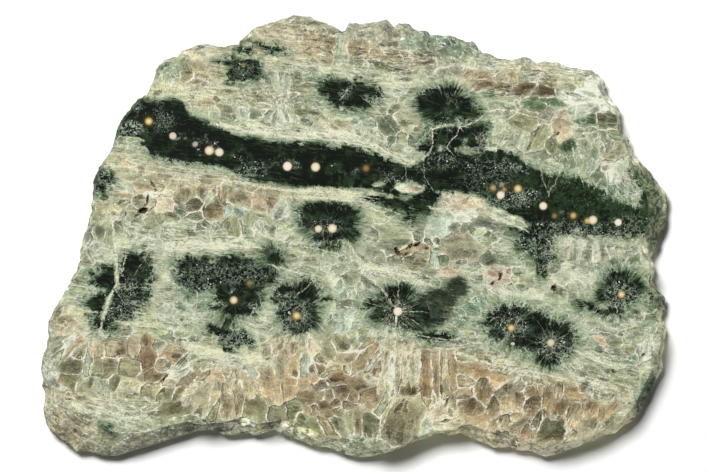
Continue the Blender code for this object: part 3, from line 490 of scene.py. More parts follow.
# How the crystal cells run in each part of the stone: x, y, half width, half height, cell size,
# how much longer than wide, turn (or the point that they fan out from), how white the seams are,
# and how strongly each cell darkens towards its upper side under a white seam
cellZones = (
    (72, 17, 8.5, 6, 2.2, 1.2, 0, 0.75, 0.1), (47, 16.5, 13, 7.5, 3, 3, (48, 28), 0.8, 0.1),
    (33, 24, 5, 5, 3.4, 1.6, 30, 0.7, 0.3), (19, 23, 13, 7, 4.2, 1.3, 75, 0.8, 0.1),
    (7, 29, 7, 7, 2.4, 3.4, (14, 33), 0.6, 0), (94, 21, 10, 7.5, 2.2, 4.5, 89, 0.7, 0),
    (90, 8, 8, 6, 4.5, 1.2, 60, 0.7, 0.2), (68, 8, 9, 4, 3.2, 1.5, -60, 0.8, 0.1),
    (64, 25, 9, 6, 3.2, 2.2, (65, 36), 0.8, 0), (81, 24, 5, 6, 2.4, 3, 62, 0.6, 0),
    (118, 13, 15, 8, 3.4, 2, 74, 0.8, 0.8), (138, 12, 9, 8, 3, 1.6, 60, 0.45, 0.6),
    (30, 64, 8, 6, 2.2, 1.2, 0, 0.6, 0), (50, 65, 14, 4, 2.6, 1.8, 80, 0.45, 0.3),
    (48, 58, 8, 4, 2.8, 1.3, 70, 0.55, 0), (20, 58, 10, 5, 3, 1.4, 20, 0.5, 0),
    (87, 83, 9, 7, 3, 1.2, 60, 0.55, 0), (122, 81, 10, 6, 3, 1.5, 70, 0.6, 0),
    (135, 77, 9, 4, 3, 1.4, 80, 0.6, 0), (142, 72, 7, 5, 2.6, 1.8, 60, 0.65, 0),
    (98, 52, 14, 6, 3.2, 1.2, 0, 0.5, 0), (134, 48, 8, 8, 2.8, 1.6, (130, 50), 0.45, 0),
    (120, 93, 9, 3, 4.2, 1.4, 0, 0.5, -0.4), (75, 38, 6, 12, 2.8, 1.3, 50, 0.5, 0),
    (120, 47, 8, 6, 2.8, 1.2, 0, 0.5, 0), (16, 48, 6, 10, 2.8, 1.5, 60, 0.5, 0),
    (104, 58, 10, 4, 2.8, 1.2, 0, 0.5, 0), (60, 89, 7, 7, 2.6, 2.2, (60, 88), 0.6, 0),
    (90, 79, 8, 4, 2.2, 1.2, 0, 0.55, 0), (104, 80, 9, 4, 2.2, 1.2, 0, 0.55, 0),
)
plainCells = (3.8, 1.9, -8, 0.5, 0)

# The cells that stand out, listed one by one: tint, x, y, half length, half width, turn, and for some how
# strongly they darken towards their upper side
crystals = (
    # lower left
    ("drab", 8, 23, 2.9, 2, 0, 0.2), ("drab", 7.6, 19.2, 2.6, 2, 0), ("hay", 11.2, 18.4, 2.3, 2, 60),
    ("olive", 15.9, 22.6, 3.3, 2, 0, 0.3), ("mist", 15.6, 17.2, 2.3, 1.6, 90, 0.2),
    ("olive", 18.8, 18.4, 1.7, 1.3, 70), ("sand", 22.4, 16.8, 2.7, 2.4, 0, -0.2),
    ("grey", 16.8, 15.8, 1.2, 0.8, 90), ("tan", 18.8, 15.2, 1, 0.8, 80),
    ("olive", 22.4, 22.8, 2.5, 1.8, 0, 0.3), ("tan", 14.6, 27.2, 1.9, 1.6, 90),
    ("tan", 17.5, 27.4, 1.6, 1.4, 90), ("brown", 20.2, 27.4, 1.4, 1.3, 0, 0.3),
    ("sand", 23.6, 27.6, 2.6, 1.3, 85), ("brown", 27, 26, 4.8, 1.8, 88, -0.2),
    ("brown", 28, 20.4, 2, 1.6, 0), ("mist", 29.8, 28.2, 1.7, 1.5, 20),
    ("fawn", 33.2, 26.5, 2.7, 2.1, 0, -0.3), ("grey", 35.1, 29.4, 1.4, 0.7, 0, 0.3),
    ("hay", 27.6, 17, 2.6, 1.9, 10, -0.3), ("olive", 31.4, 15.8, 2.1, 1.5, 15, -0.1),
    ("brown", 35.4, 17.2, 3.3, 1, 55, -0.2), ("blush", 32.4, 19.2, 1.6, 1, 20),
    ("umber", 31.1, 20.1, 1.5, 0.4, 42), ("drab", 32, 11.2, 6, 2, 14, 0.5),
    ("sand", 27.6, 12.8, 2.4, 0.9, 25), ("umber", 10, 26.3, 2.3, 1.3, 20, 0.1),
    ("fawn", 8.6, 27.8, 3.9, 0.8, 48), ("ice", 7.4, 29.4, 1.2, 0.6, 40), ("drab", 4.4, 27, 2, 0.5, 42),
    ("mist", 4.4, 25.2, 2, 1.2, 42), ("brown", 7.3, 34.2, 1.7, 1.2, 0, 0.2),
    ("rust", 3.2, 33.8, 0.8, 0.7, 0), ("mist", 11.9, 23.6, 3.8, 0.9, 86),
    ("brown", 24.4, 31.4, 0.9, 0.5, 0), ("brown", 37.2, 19.8, 4.3, 0.9, 48),
    ("brown", 39, 22, 1.3, 0.7, 40, 0.3), ("fawn", 44.2, 21.3, 1.7, 1.6, 0, 0.4),
    ("fawn", 46.8, 21.4, 0.9, 0.9, 0, 0.3), ("sand", 43.6, 17.2, 3, 1, 82),
    ("hay", 40.8, 15.6, 4.4, 1.5, 68), ("tan", 46.8, 13.4, 3.5, 1.6, 88, 0.5),
    ("tan", 49.7, 14, 3.4, 1.3, 95, 0.4), ("olive", 53.7, 12.4, 3.2, 2.8, -45, 0.4),
    ("tan", 57.4, 17.6, 4.6, 2.5, 108, 0.4), ("fawn", 62, 17.4, 2.6, 2, 90, 0.1),
    ("olive", 58.9, 11.7, 2.5, 2.3, 20), ("olive", 63.3, 12.9, 2.3, 2.2, 0, -0.1),
    ("brown", 66.8, 15.7, 2.4, 1.9, 0, -0.5), ("fawn", 65.7, 18.9, 1.4, 1.2, 0),
    ("lime", 67.4, 8.2, 3.8, 1.7, -42, 0.1), ("hay", 60, 23.3, 2.6, 1.7, 90),
    ("tan", 63.2, 23.4, 2.6, 1.7, 88), ("ice", 66, 23.3, 2.9, 0.9, 86), ("ice", 53, 21.8, 2.6, 1, -40),
    ("hay", 55.5, 23.9, 2.4, 0.8, 0), ("white", 53.2, 9.1, 1.2, 0.7, 60), ("slate", 47.6, 8, 4.6, 1.2, 10),
    ("white", 49.8, 7.8, 1.8, 0.9, 10), ("white", 60, 8.4, 1.3, 0.9, -30),
    ("drab", 56.6, 7.9, 2, 0.8, 15, 0.3),
    # bottom middle
    ("umber", 70.3, 17.7, 2, 1, 0, 0.2), ("brown", 74.8, 20, 2.1, 2.1, 0, -0.3),
    ("umber", 75.5, 16.8, 1.9, 1.6, 0, 0.2), ("brown", 79.5, 18.9, 2.4, 1.8, 0, -0.2),
    ("brown", 72.5, 15.5, 1.5, 1.2, 90), ("tan", 70.4, 15.8, 1.1, 1, 0), ("umber", 71.1, 13.3, 1.5, 1.3, 0),
    ("brown", 73.8, 13.9, 1.2, 1, 0), ("brown", 78.2, 15.2, 1.2, 1.2, 0, 0.3),
    ("fawn", 82.5, 14.5, 2.6, 2.2, -20, 0.5), ("fawn", 66.8, 12.2, 1.2, 1.1, 90),
    ("fawn", 68.8, 12.2, 1.2, 1, 90), ("fawn", 71.7, 11.2, 1.4, 1.2, 0, 0.4),
    ("olive", 74.5, 11.7, 1.5, 1.3, 0), ("brown", 77, 13, 1.3, 1, 0, 0.3), ("hay", 77.1, 8.9, 2.3, 1.1, 98),
    ("tan", 79.6, 9, 2.2, 1, 84), ("slate", 74.9, 8.2, 2.6, 1.3, -50, 0.2),
    ("tan", 72, 7.6, 3, 1.3, -52, 0.3), ("drab", 82.6, 8.3, 2.6, 2, 98, 0.3),
    ("tan", 90.8, 9.6, 6, 4.6, 66, -0.4), ("mist", 85.9, 13.4, 2.9, 1.3, 56),
    ("blush", 100, 11.4, 2.6, 1.8, 20), ("blush", 101.6, 8.2, 3, 1.2, 0),
    ("umber", 101.4, 13.4, 1.6, 0.45, 76), ("umber", 103.4, 14.2, 1.5, 0.4, 102),
    ("drab", 98.6, 15, 1.8, 0.4, 95), ("sand", 85.9, 21, 5, 0.7, 80), ("white", 87.6, 21, 5.4, 0.55, 86),
    ("sand", 89.5, 21.6, 5, 0.6, 90), ("sand", 91.1, 22.6, 4, 0.7, 90),
    ("brown", 92.3, 16.6, 2, 1.4, 0, 0.4), ("grey", 93, 22, 3.4, 0.7, 94),
    ("white", 94.4, 22, 3.6, 0.5, 90), ("fawn", 96.4, 19, 5.6, 1.4, 89, 0.2), ("tan", 99, 21, 5, 0.9, 90),
    ("sand", 101, 21.4, 4.8, 0.9, 91), ("brown", 84, 22.4, 2.4, 0.9, 78, 0.2),
    ("white", 82.4, 19.8, 1.2, 0.9, 0), ("sand", 73.6, 22.6, 2, 1.1, 0), ("sand", 76.6, 22.6, 1.4, 1.2, 90),
    ("brown", 70.3, 22.4, 1.4, 1.1, 90, 0.2), ("white", 71.5, 20.8, 1.1, 0.5, 10),
    ("fawn", 68.8, 19.9, 1.1, 0.9, 90), ("olive", 71.9, 27.4, 2.8, 1.4, -48),
    ("olive", 75.2, 28.6, 2.4, 1.8, -45), ("tan", 76.3, 25.3, 2.1, 1.2, 0),
    ("brown", 80.4, 24.8, 3.6, 1.1, 54, 0.2), ("fawn", 83.2, 27, 2.6, 0.9, 54),
    ("white", 83.9, 25, 3.6, 0.7, 56), ("fawn", 92.9, 25.1, 1, 0.9, 0), ("tan", 103.2, 22.2, 4, 0.9, 96),
    ("olive", 107, 25.8, 2.2, 1.7, 0, 0.2), ("hay", 98, 28.4, 4.6, 0.7, -4),
    # lower right, with its brown caps
    ("fawn", 109.2, 21.9, 3.2, 1.6, 0, 0.2), ("tan", 107.4, 12.6, 3.2, 2, 50, 0.9),
    ("fawn", 110.4, 16.8, 2.8, 1.7, 75, 0.9), ("fawn", 114.6, 19.8, 1.8, 1.6, 0, 0.5),
    ("tan", 106.6, 16.6, 1.8, 1.1, 20, 0.2), ("tan", 116.4, 15, 2.9, 1.7, 78, 0.9),
    ("fawn", 119.4, 14.4, 2.6, 1.3, 84, 0.9), ("brown", 113.2, 12.2, 2.4, 1.2, 90, 0.8),
    ("brown", 122.2, 17, 1.3, 1.1, 0, 0.5), ("tan", 119, 10.6, 1.7, 1, 0, 0.5),
    ("brown", 123.4, 12.4, 2.8, 1.7, 70, 0.9), ("fawn", 126.6, 13.6, 2.6, 1.3, 84, 0.9),
    ("brown", 129.6, 12.2, 2.9, 1.8, 64, 0.9), ("hay", 120.2, 8.4, 2.6, 1.5, 30, 0.9),
    ("tan", 133, 11, 3, 1.6, 70, 0.8), ("fawn", 137.4, 12.4, 2.6, 1.4, 60, 0.7),
    ("hay", 136.6, 7.6, 2.4, 1.6, 40, 0.6), ("tan", 141.6, 11.4, 2.4, 1.2, 50, 0.5),
    ("tan", 116, 9.4, 2, 1.2, 60, 0.8), ("fawn", 110.4, 9, 2.2, 1.3, 30, 0.6),
    ("drab", 127.4, 6.8, 4, 2.5, 30, 0.5), ("grey", 107.5, 6.6, 2.5, 1.5, 0, 0.5),
    ("grey", 114, 4.8, 2.9, 2.1, 0, 0.5), ("grey", 120, 18, 1.1, 1, 0), ("sand", 102, 12.4, 1.6, 1.2, 90),
    ("fawn", 133.4, 15.6, 2.4, 1.6, -10, 0.5), ("pink", 140.1, 29.3, 2, 0.8, -58),
    ("teal", 139.3, 27.4, 1.2, 0.9, 0), ("grey", 143.2, 29.9, 1.8, 1.5, 0),
    ("slate", 148.4, 28.8, 1.5, 0.5, -60), ("hay", 147.2, 27, 1.2, 1.1, 0),
    ("teal", 148.4, 24.8, 1.2, 1.1, 0), ("white", 151.4, 27.6, 4, 1.6, 75),
    ("cream", 150.8, 22.8, 2.4, 1.3, 70), ("grey", 152.9, 31.6, 1.1, 0.9, 0),
    ("cream", 142.2, 23.8, 3.2, 0.6, -17), ("cream", 140.8, 18, 3.6, 0.7, -17),
    ("umber", 148.4, 32.5, 1.5, 0.3, -2), ("slate", 134.7, 38.8, 1.8, 0.7, -15),
    ("slate", 133.1, 47.5, 0.7, 0.6, 0), ("mist", 131, 45.4, 2.4, 2, 30),
    ("moss", 154, 41.4, 2.6, 1.4, 60, 0.3), ("fern", 152.4, 37.6, 3, 1.6, 20, 0.3),
    ("pine", 155, 38.4, 1.8, 0.8, 60),
    # left
    ("slate", 11.4, 49.6, 2.2, 1.4, 70), ("mist", 13.8, 51.2, 2.8, 1.7, 20),
    ("slate", 11, 46.6, 1.7, 1.3, 0), ("slate", 29.4, 51.2, 1.5, 1.5, 0), ("moss", 25.9, 39.3, 1, 0.7, -15),
    ("pine", 24.5, 38.8, 1.3, 0.6, 90), ("moss", 25.8, 37.7, 0.7, 0.6, 0),
    ("olive", 27.3, 37.2, 1, 0.8, 0, 0.3), ("brown", 25.1, 35.9, 0.8, 0.6, 0),
    ("ice", 31.7, 36.4, 2.2, 1.5, 40), ("moss", 32.5, 39.5, 1.4, 1, 0), ("blush", 29, 44.6, 2, 1.9, 0),
    ("olive", 29.5, 38.6, 1.2, 0.7, 0), ("sand", 20.6, 71, 3.4, 1.5, 0, -0.1),
    ("brown", 25.6, 71.7, 1, 0.9, -10), ("tan", 25.8, 67.9, 2.5, 1.3, 0, 0.2),
    ("ice", 22.2, 67.7, 1.9, 0.8, -35), ("tan", 20.4, 65.6, 2, 1, 0), ("grey", 25.3, 64.2, 1.4, 1.3, 0),
    ("white", 28.3, 65.7, 1.3, 0.7, 10), ("blush", 31, 64, 2, 1.5, -30),
    ("tan", 35.7, 65.4, 2.2, 1.6, 85, 0.3), ("slate", 35.2, 62.2, 1.4, 1.1, -20),
    ("umber", 38.3, 62.9, 2, 1.3, 15, 0.2), ("moss", 39, 60.6, 1.6, 1.1, 0),
    ("umber", 43.7, 61.9, 2.5, 2.2, 0, 0.5), ("olive", 27.2, 59.5, 2.2, 0.9, -10),
    ("moss", 25, 56.4, 1.7, 0.6, -25), ("slate", 20, 58.2, 1.6, 1.2, -30),
    ("moss", 14.8, 56.2, 1.6, 1.4, 90, 0.4), ("sage", 17.4, 55, 2.5, 1.1, 86),
    ("slate", 12.2, 55.4, 2, 1.2, 80), ("olive", 13.8, 60.5, 2, 1.1, 70), ("ice", 29.2, 55.6, 1.3, 0.9, 0),
    ("mist", 31.7, 54.6, 2.4, 1.4, 90), ("mist", 35.4, 58.4, 3.3, 0.9, 0),
    ("slate", 40.6, 57.6, 1.4, 1.3, 0), ("olive", 48.2, 57.6, 2.4, 1.9, 90, 0.1),
    ("sage", 51.6, 57.8, 2.2, 1.6, 90), ("slate", 58, 56.8, 1, 0.9, 0), ("white", 59.6, 62, 2.6, 1.8, 50),
    ("tan", 46, 65.2, 2, 1, 85), ("tan", 50.6, 65.2, 2.3, 1.8, 0, 0.3),
    ("tan", 55, 64.4, 2.4, 1.4, 100, 0.3), ("brown", 58, 64, 2.2, 1.2, 105, 0.2),
    ("ice", 47.4, 61.6, 1.4, 1.1, 60), ("ice", 49.8, 61.8, 1.5, 1.1, 110),
    ("slate", 41.6, 51.6, 1.8, 0.5, 0), ("slate", 48.4, 50.8, 2.6, 0.5, -8),
    # middle
    ("cream", 91, 67.4, 2.2, 1.2, 0), ("blush", 94.6, 67.5, 1.8, 1, 0),
    ("hay", 88, 55.3, 3.9, 3.7, 0, -0.2), ("slate", 94.4, 58.4, 3.4, 1.6, 90),
    ("ice", 99.6, 57.6, 2.4, 2.3, 0), ("slate", 97.3, 53.8, 1.2, 0.8, -30),
    ("slate", 99.4, 54.4, 1.3, 0.9, 90), ("moss", 99.4, 52.2, 1.1, 0.8, 0),
    ("slate", 103.2, 57.4, 0.9, 0.9, 0), ("sand", 105.4, 52.6, 4, 2.8, 0), ("rust", 91.6, 52, 2, 1.1, 10),
    ("rust", 95, 52.8, 1.8, 1, 0), ("olive", 94, 48.8, 2.6, 2, 0, -0.2), ("grey", 88.3, 49, 1.7, 1.5, 90),
    ("sand", 84.8, 49, 1.5, 1.3, 0), ("grey", 82, 51.8, 3.2, 1.3, -12, 0.2),
    ("ice", 98.3, 49, 1.8, 1.2, 90), ("fern", 100.9, 49.3, 1.5, 1.2, 70), ("sage", 77.4, 44.8, 2.3, 1.8, 0),
    ("slate", 82.4, 43.4, 3, 1.3, -35, 0.2), ("blush", 102.4, 46.2, 2, 1.1, -10),
    ("slate", 105.9, 57, 1, 0.6, 90), ("slate", 107.8, 57.3, 1.2, 0.6, 90), ("slate", 112, 50, 1.5, 1.4, 0),
    ("sage", 116.8, 49.6, 2.2, 2.1, 0), ("slate", 112.4, 58.4, 3.8, 1.1, -22),
    ("mist", 115.4, 53.2, 2.4, 1.8, 0),
    # upper left
    ("olive", 36.6, 95.4, 1.5, 1.4, -20, 0.2), ("tan", 39.4, 93.4, 2.3, 1.3, 5),
    ("olive", 43.5, 92.1, 1.6, 0.7, 0), ("tan", 41.2, 89.4, 2.6, 1.4, -5), ("olive", 47, 87.3, 1.7, 1.3, 0),
    ("olive", 54.6, 89.6, 2.8, 2, -10, 0.4), ("slate", 53.2, 86, 1.2, 1, 0),
    ("ice", 50.6, 86.2, 1.7, 1.5, 90), ("ice", 57.6, 85.8, 2.2, 0.7, 62),
    ("slate", 58.8, 84.6, 1.6, 0.5, 75), ("ice", 60.2, 84.8, 2.2, 0.7, 95), ("grey", 61.8, 85, 2, 0.6, 108),
    ("sage", 63.4, 85.6, 2.2, 0.8, 120), ("ice", 58.6, 94.4, 2.8, 0.9, 102),
    ("grey", 60.2, 95.2, 2.4, 0.6, 90), ("ice", 61.6, 93.8, 3, 0.8, 76),
    ("slate", 56.4, 95.4, 2.2, 0.6, 135), ("moss", 56.4, 90.8, 2.4, 0.7, 145),
    ("mist", 57.6, 92.4, 2.6, 0.7, 125), ("grey", 55.6, 88, 1.6, 0.7, 175),
    ("olive", 63.4, 90.4, 1.8, 0.7, 40), ("moss", 64.2, 95.8, 1.5, 1.5, 0, 0.3),
    ("olive", 65.9, 92, 2.4, 1.1, 5, 0.2), ("moss", 66.8, 86.5, 3, 0.9, 5),
    ("tan", 72.1, 103.2, 2.1, 1.5, 0), ("tan", 71.6, 99.2, 1.6, 1.2, 0),
    ("mist", 74.9, 101.6, 3.7, 1.4, 86), ("tan", 79.8, 102.2, 2.7, 1.8, -5, 0.2),
    ("slate", 79.8, 98.4, 2.1, 1.1, -5), ("moss", 86.5, 97.6, 4.4, 1.1, -14, 0.2),
    ("tan", 87.6, 100.6, 5, 1.3, -6), ("moss", 96.8, 100.9, 3.4, 0.9, -8),
    ("brown", 96.8, 99, 3.4, 0.7, -3), ("olive", 92.9, 97.5, 0.9, 0.8, 0),
    # upper right
    ("tan", 109, 96, 3.5, 1.4, 0, 0.2), ("brown", 109.8, 93.2, 3, 1.2, 0),
    ("grey", 102.6, 96.6, 2.3, 1.5, 0), ("slate", 86.8, 83.3, 2.6, 1.9, -30, 0.3),
    ("grey", 83.6, 87, 2.2, 1, -5), ("olive", 88.9, 87.3, 1.4, 1, 40),
    ("sand", 92.3, 84.7, 2.8, 2.1, -20, 0.2), ("ice", 82.2, 83.2, 1.8, 1.2, 0),
    ("white", 91.8, 77.2, 0.9, 0.8, 0), ("fern", 95, 80.4, 1.6, 0.8, -10),
    ("pine", 96.4, 78.6, 1.3, 1.3, 0), ("fern", 106.6, 77.6, 1.4, 1, 0), ("fern", 87.6, 79, 1.3, 1.1, 50),
    ("olive", 90.4, 80, 1.3, 1.2, 0), ("fern", 93, 79.4, 1.2, 1, 90),
    ("fern", 123.2, 88.2, 2.8, 1.2, -5, 0.4), ("fern", 128.5, 88.7, 2.5, 1.1, -5, 0.4),
    ("fern", 136.5, 83.6, 2.5, 1.4, 0, 0.3), ("olive", 120, 84, 2.8, 2.6, 0, 0.2),
    ("olive", 124.5, 80, 3.2, 1.8, 60), ("moss", 127.6, 78, 2.1, 1.4, 90),
    ("pine", 131.5, 77.5, 1.6, 1.4, 90), ("sage", 136.2, 78, 2.1, 1.3, 90),
    ("moss", 142.3, 84, 2.3, 2, 0, 0.2), ("olive", 143.6, 76.8, 1.7, 1.6, 0),
    ("fern", 139.8, 90.2, 0.8, 0.7, 0), ("umber", 116, 92, 2.4, 1.5, 30, 0.3),
    ("brown", 120.4, 92.4, 2.5, 1.7, 20, 0.4), ("umber", 126.8, 91.8, 2.4, 1.4, -8, 0.4),
    ("fern", 139.8, 69.3, 1.8, 1.5, 60),
    # right
    ("slate", 133.2, 52.6, 2.4, 0.7, 82), ("moss", 137, 51.4, 2.6, 0.7, 88),
    ("slate", 140.8, 52.2, 2.4, 0.8, 96), ("white", 135, 52.4, 2.6, 0.6, 86),
    ("white", 138.8, 52, 2.6, 0.6, 92), ("grey", 130.4, 50.4, 2.2, 0.8, 66),
    ("slate", 128.6, 47.2, 1.8, 0.8, 20), ("fern", 148.6, 50, 2, 0.8, 40), ("white", 144, 71.8, 3, 1.6, 60),
    ("brown", 141.9, 72.6, 1.4, 0.6, 10), ("sage", 147, 76.4, 1.4, 1.2, 90),
)

# Where the stone is finely bedded: x, y, half width, half height, turn of the beds, strength
beds = (
    (38, 55, 9, 4.6, -1, 0.9), (43, 52.6, 14, 1.6, -2, 0.9), (27, 51, 8, 3.4, -8, 0.9),
    (25, 57, 6, 3.4, -20, 0.8), (13, 51, 4, 4, 25, 0.6), (66, 105.5, 9, 3.6, -6, 0.8),
    (62, 98.6, 11, 3, 3, 0.8), (87, 99.4, 13, 3.6, -5, 1), (86, 94.4, 14, 2.4, -7, 0.8),
    (45, 90.8, 18, 3.2, -2, 0.9), (38, 71, 16, 3.8, -8, 0.8), (63, 81, 17, 2.6, -4, 1),
    (84, 77.6, 10, 2.4, -27, 1), (78, 64.6, 15, 2.6, -5, 0.9), (104, 30.6, 10, 3.4, -8, 1),
    (142, 24.4, 9, 3, -17, 0.9), (140, 18.6, 8, 3.4, -17, 0.9), (91, 45.2, 10, 2.6, -13, 0.9),
    (121, 21.8, 13, 2.2, -14, 0.9), (119, 59.4, 9, 2.6, -22, 0.9), (60, 51, 9, 4, -4, 0.8),
    (27, 34.6, 8, 2.6, -3, 0.9), (112, 88.6, 9, 3.6, 6, 0.7), (126, 97, 12, 2.8, -3, 0.8),
    (21, 12.6, 10, 4.4, -12, 0.9), (8, 7.4, 9, 6, -33, 1), (46, 25.6, 13, 2.2, -6, 0.7),
    (56, 33, 7, 3, -12, 0.8), (36, 38, 8, 4, -10, 0.7), (149, 68, 7, 9, -48, 0.9), (18, 84, 6, 4, 8, 0.5),
    (113, 78, 7, 4, -4, 0.7), (32, 47, 6, 5, -14, 0.7), (97, 71, 6, 3, -10, 0.3), (5, 36, 5, 5, 40, 0.6),
)


# How much an elliptical patch covers: nothing beyond the first share of its reach, all within the second
def patch(points, place, none, full):
    return fade(ellipseReach(points, *place)[1], none, full)


# The broad colour at each place: sage under all the patches
def washOver(points):
    places = stir(stir(points, 7, 1.1, 3), 1.8, 0.5, 5)
    colour = np.tile(np.array(tints["sage"], float), (len(points), 1))
    for tint, *place, strength in washes:
        share = strength * patch(places, place, 1.3, 0.7)
        colour += share[:, None] * (np.array(tints[tint]) - colour)
    return colour


# How the scattered cells are drawn, in mm, and how much each cell differs from its neighbours
cells = {
    "area": ((-2, -2), (160, 113)), "tries": 9000,
    "keepOff": (1.1, 1),              # room round a listed cell, lengthwise and sideways
    "spacing": 0.72, "half": 0.48,    # least distance between seeds and half length, as shares of the size
    "sizes": (0.65, 1.35), "stretches": (0.8, 1.7), "whites": (0.5, 1.1), "tilt": 18, "capSpread": 0.25,
    "setWhite": 0.75, "setHold": 0.62, "hold": 0.8,
    "shadeSpread": 0.07, "tintSpread": 1.6,
    "sides": 6, "sideTurn": 0.28, "sideReach": (0.85, 1.1),
    "capDepth": 0.38, "capLimit": 1.2, "capLean": 0.3,
    "bedHold": 0.4, "lowHold": 0.6, "bedSeams": 0.45, "lowSeams": 0.7,
}


# The seeds of the crystal cells: those listed one by one come first, and scattered ones fill the room
# between
# them. A seed is x, y, half length, half width, turn, how white its seams are, how strongly it darkens
# towards its upper side, and how much of its own colour it keeps.
def cellSeeds(draw):
    seeds = []
    for _, x, y, wide, high, turn, *cap in crystals:
        seeds.append((x, y, wide, high, turn, cells["setWhite"], sum(cap), cells["setHold"]))
    pinned = np.array(seeds)
    angle = np.radians(pinned[:, 4])
    placed = []
    for x, y in draw.uniform(*cells["area"], (cells["tries"], 2)):
        dx, dy = x - pinned[:, 0], y - pinned[:, 1]
        along = (dx * np.cos(angle) + dy * np.sin(angle)) / (pinned[:, 2] + cells["keepOff"][0])
        across = (dy * np.cos(angle) - dx * np.sin(angle)) / (pinned[:, 3] + cells["keepOff"][1])
        if (np.hypot(along, across) < 1).any():
            continue
        inside = (z[4:] for z in cellZones if ((x - z[0]) / z[2]) ** 2 + ((y - z[1]) / z[3]) ** 2 < 1)
        size, stretch, turn, white, cap = next(inside, plainCells)
        size *= draw.uniform(*cells["sizes"])
        stretch *= draw.uniform(*cells["stretches"])
        if any(math.hypot(x - s[0], y - s[1]) <= cells["spacing"] * min(size, s[2]) for s in placed):
            continue
        placed.append((x, y, size))
        if isinstance(turn, tuple):
            turn = math.degrees(math.atan2(y - turn[1], x - turn[0]))
        wide = cells["half"] * size * math.sqrt(stretch)
        high = cells["half"] * size / math.sqrt(stretch)
        turn += draw.normal(0, cells["tilt"])
        white *= draw.uniform(*cells["whites"])
        cap += draw.normal(0, cells["capSpread"])
        seeds.append((x, y, wide, high, turn, white, cap, cells["hold"]))
    return np.array(seeds)


# Each place belongs to the nearest seed, measured in the seed's own stretched frame by the farthest of
# the flat sides of its crystal. Returns the cell's colour, the distance to the next cell, the same with
# a sign for the side of the seam, how white the seam is, the place along and across the cell, the cell's
# random value, how far up the place lies in it, and how much of its own colour it keeps.
def cellsOver(points):
    draw = np.random.default_rng(11)
    seeds = cellSeeds(draw)
    count = len(seeds)
    shades = washOver(seeds[:, :2])
    shades[:len(crystals)] = [tints[crystal[0]] for crystal in crystals]
    shades = shades * draw.normal(1, cells["shadeSpread"], (count, 1))
    shades = shades + draw.normal(0, cells["tintSpread"], (count, 3))
    places = stir(stir(points, 2.6, 0.4, 21), 0.9, 0.12, 25)
    first, second = np.full((2, len(points)), 1e6)
    firstSlope, secondSlope = np.zeros((2, len(points), 2))
    owner, rival = np.zeros((2, len(points)), int)
    number, jitter = cells["sides"], cells["sideTurn"]
    for k, (x, y, wide, high, turn, _, _, _) in enumerate(seeds):
        a = math.radians(turn)
        angles = turnAll * (np.arange(number) + draw.uniform(-jitter, jitter, number)) / number
        sides = np.column_stack([np.cos(angles) / wide, np.sin(angles) / high])
        sides = sides / draw.uniform(*cells["sideReach"], (number, 1))
        sides = sides @ np.array([(math.cos(a), math.sin(a)), (-math.sin(a), math.cos(a))])
        near = np.flatnonzero(np.hypot(places[:, 0] - x, places[:, 1] - y) < 2.4 * wide + 3)
        reaches = (places[near] - (x, y)) @ sides.T
        slope = sides[reaches.argmax(1)]
        reach = reaches.max(1)
        closer = reach < first[near]
        between = ~closer & (reach < second[near])
        here, there = near[closer], near[between]
        second[here], secondSlope[here], rival[here] = first[here], firstSlope[here], owner[here]
        first[here], firstSlope[here], owner[here] = reach[closer], slope[closer], k
        second[there], secondSlope[there], rival[there] = reach[between], slope[between], k
    x, y, wide, high, turn, white, cap, hold = seeds[owner].T
    dx, dy = places[:, 0] - x, places[:, 1] - y
    turn = np.radians(turn)
    along = dx * np.cos(turn) + dy * np.sin(turn)
    across = dy * np.cos(turn) - dx * np.sin(turn)
    rise = (dy + cells["capLean"] * dx) / np.sqrt(wide * high)
    upper = np.clip(rise, -cells["capLimit"], cells["capLimit"]) * cap
    gap = np.clip((second - first) / (np.hypot(*(secondSlope - firstSlope).T) + 0.05), 0, 9)
    side = np.where(owner > rival, gap, -gap)
    chance = draw.uniform(0, 1, count)[owner]
    return shades[owner], gap, side, white, along, across, chance, upper, hold


# The run of the fine beds: the place along and across them, and how strongly they show
def bedsOver(points):
    places = stir(points, 7, 0.8, 81)
    along, across = places.T.copy()
    share = np.zeros(len(points))
    for k, (x, y, wide, high, turn, strength) in enumerate(beds):
        own = strength * patch(places, (x, y, wide, high, turn), 1.25, 0.7)
        better = own > share
        a = math.radians(turn)
        d = places[better] - (x, y)
        along[better] = d[:, 0] * math.cos(a) + d[:, 1] * math.sin(a) + 31 * k
        across[better] = d[:, 1] * math.cos(a) - d[:, 0] * math.sin(a) + 17 * k
        share[better] = own[better]
    return along, across, share


# How deep in the dark a place lies, in mm and negative outside it. It rises faster across the band's
# long edges, which are crisper.
def darkOver(points):
    x, y = stir(points, 5, 0.6, 31).T
    band = np.array(darkBand, float)
    upper = np.interp(x, band[:, 0], band[:, 1])
    lower = np.interp(x, band[:, 0], band[:, 2])
    depth = np.minimum(upper - y, y - lower)
    crisp = fade(abs(y - upper), 5, 2) + fade(abs(y - lower), 3, 1)
    places = stir(points, 3, 0.5, 35)
    for blob in darkBlobs:
        reach, share = ellipseReach(places, *blob)
        depth = softMax(depth, reach / share - reach, 1.2)
    for body in paleBodies:
        reach, share = ellipseReach(places, *body)
        depth = -softMax(-depth, 2.2 * (reach / share - reach), 0.4)
    return np.clip(depth * (1 + 1.2 * np.clip(crisp, 0, 1)), -30, 30)


# How much the white specks crowd at each place
def specksOver(points):
    share = np.zeros(len(points))
    for *place, strength in specks:
        share = np.maximum(share, strength * patch(points, place, 1.3, 0.5))
    return share


# How strong the green haze is at each place
def hazeOver(points):
    places = stir(points, 4, 0.8, 71)
    haze = np.zeros(len(points))
    for *place, strength in hazes:
        haze = np.maximum(haze, strength * patch(places, place, 1.25, 0.35))
    return haze


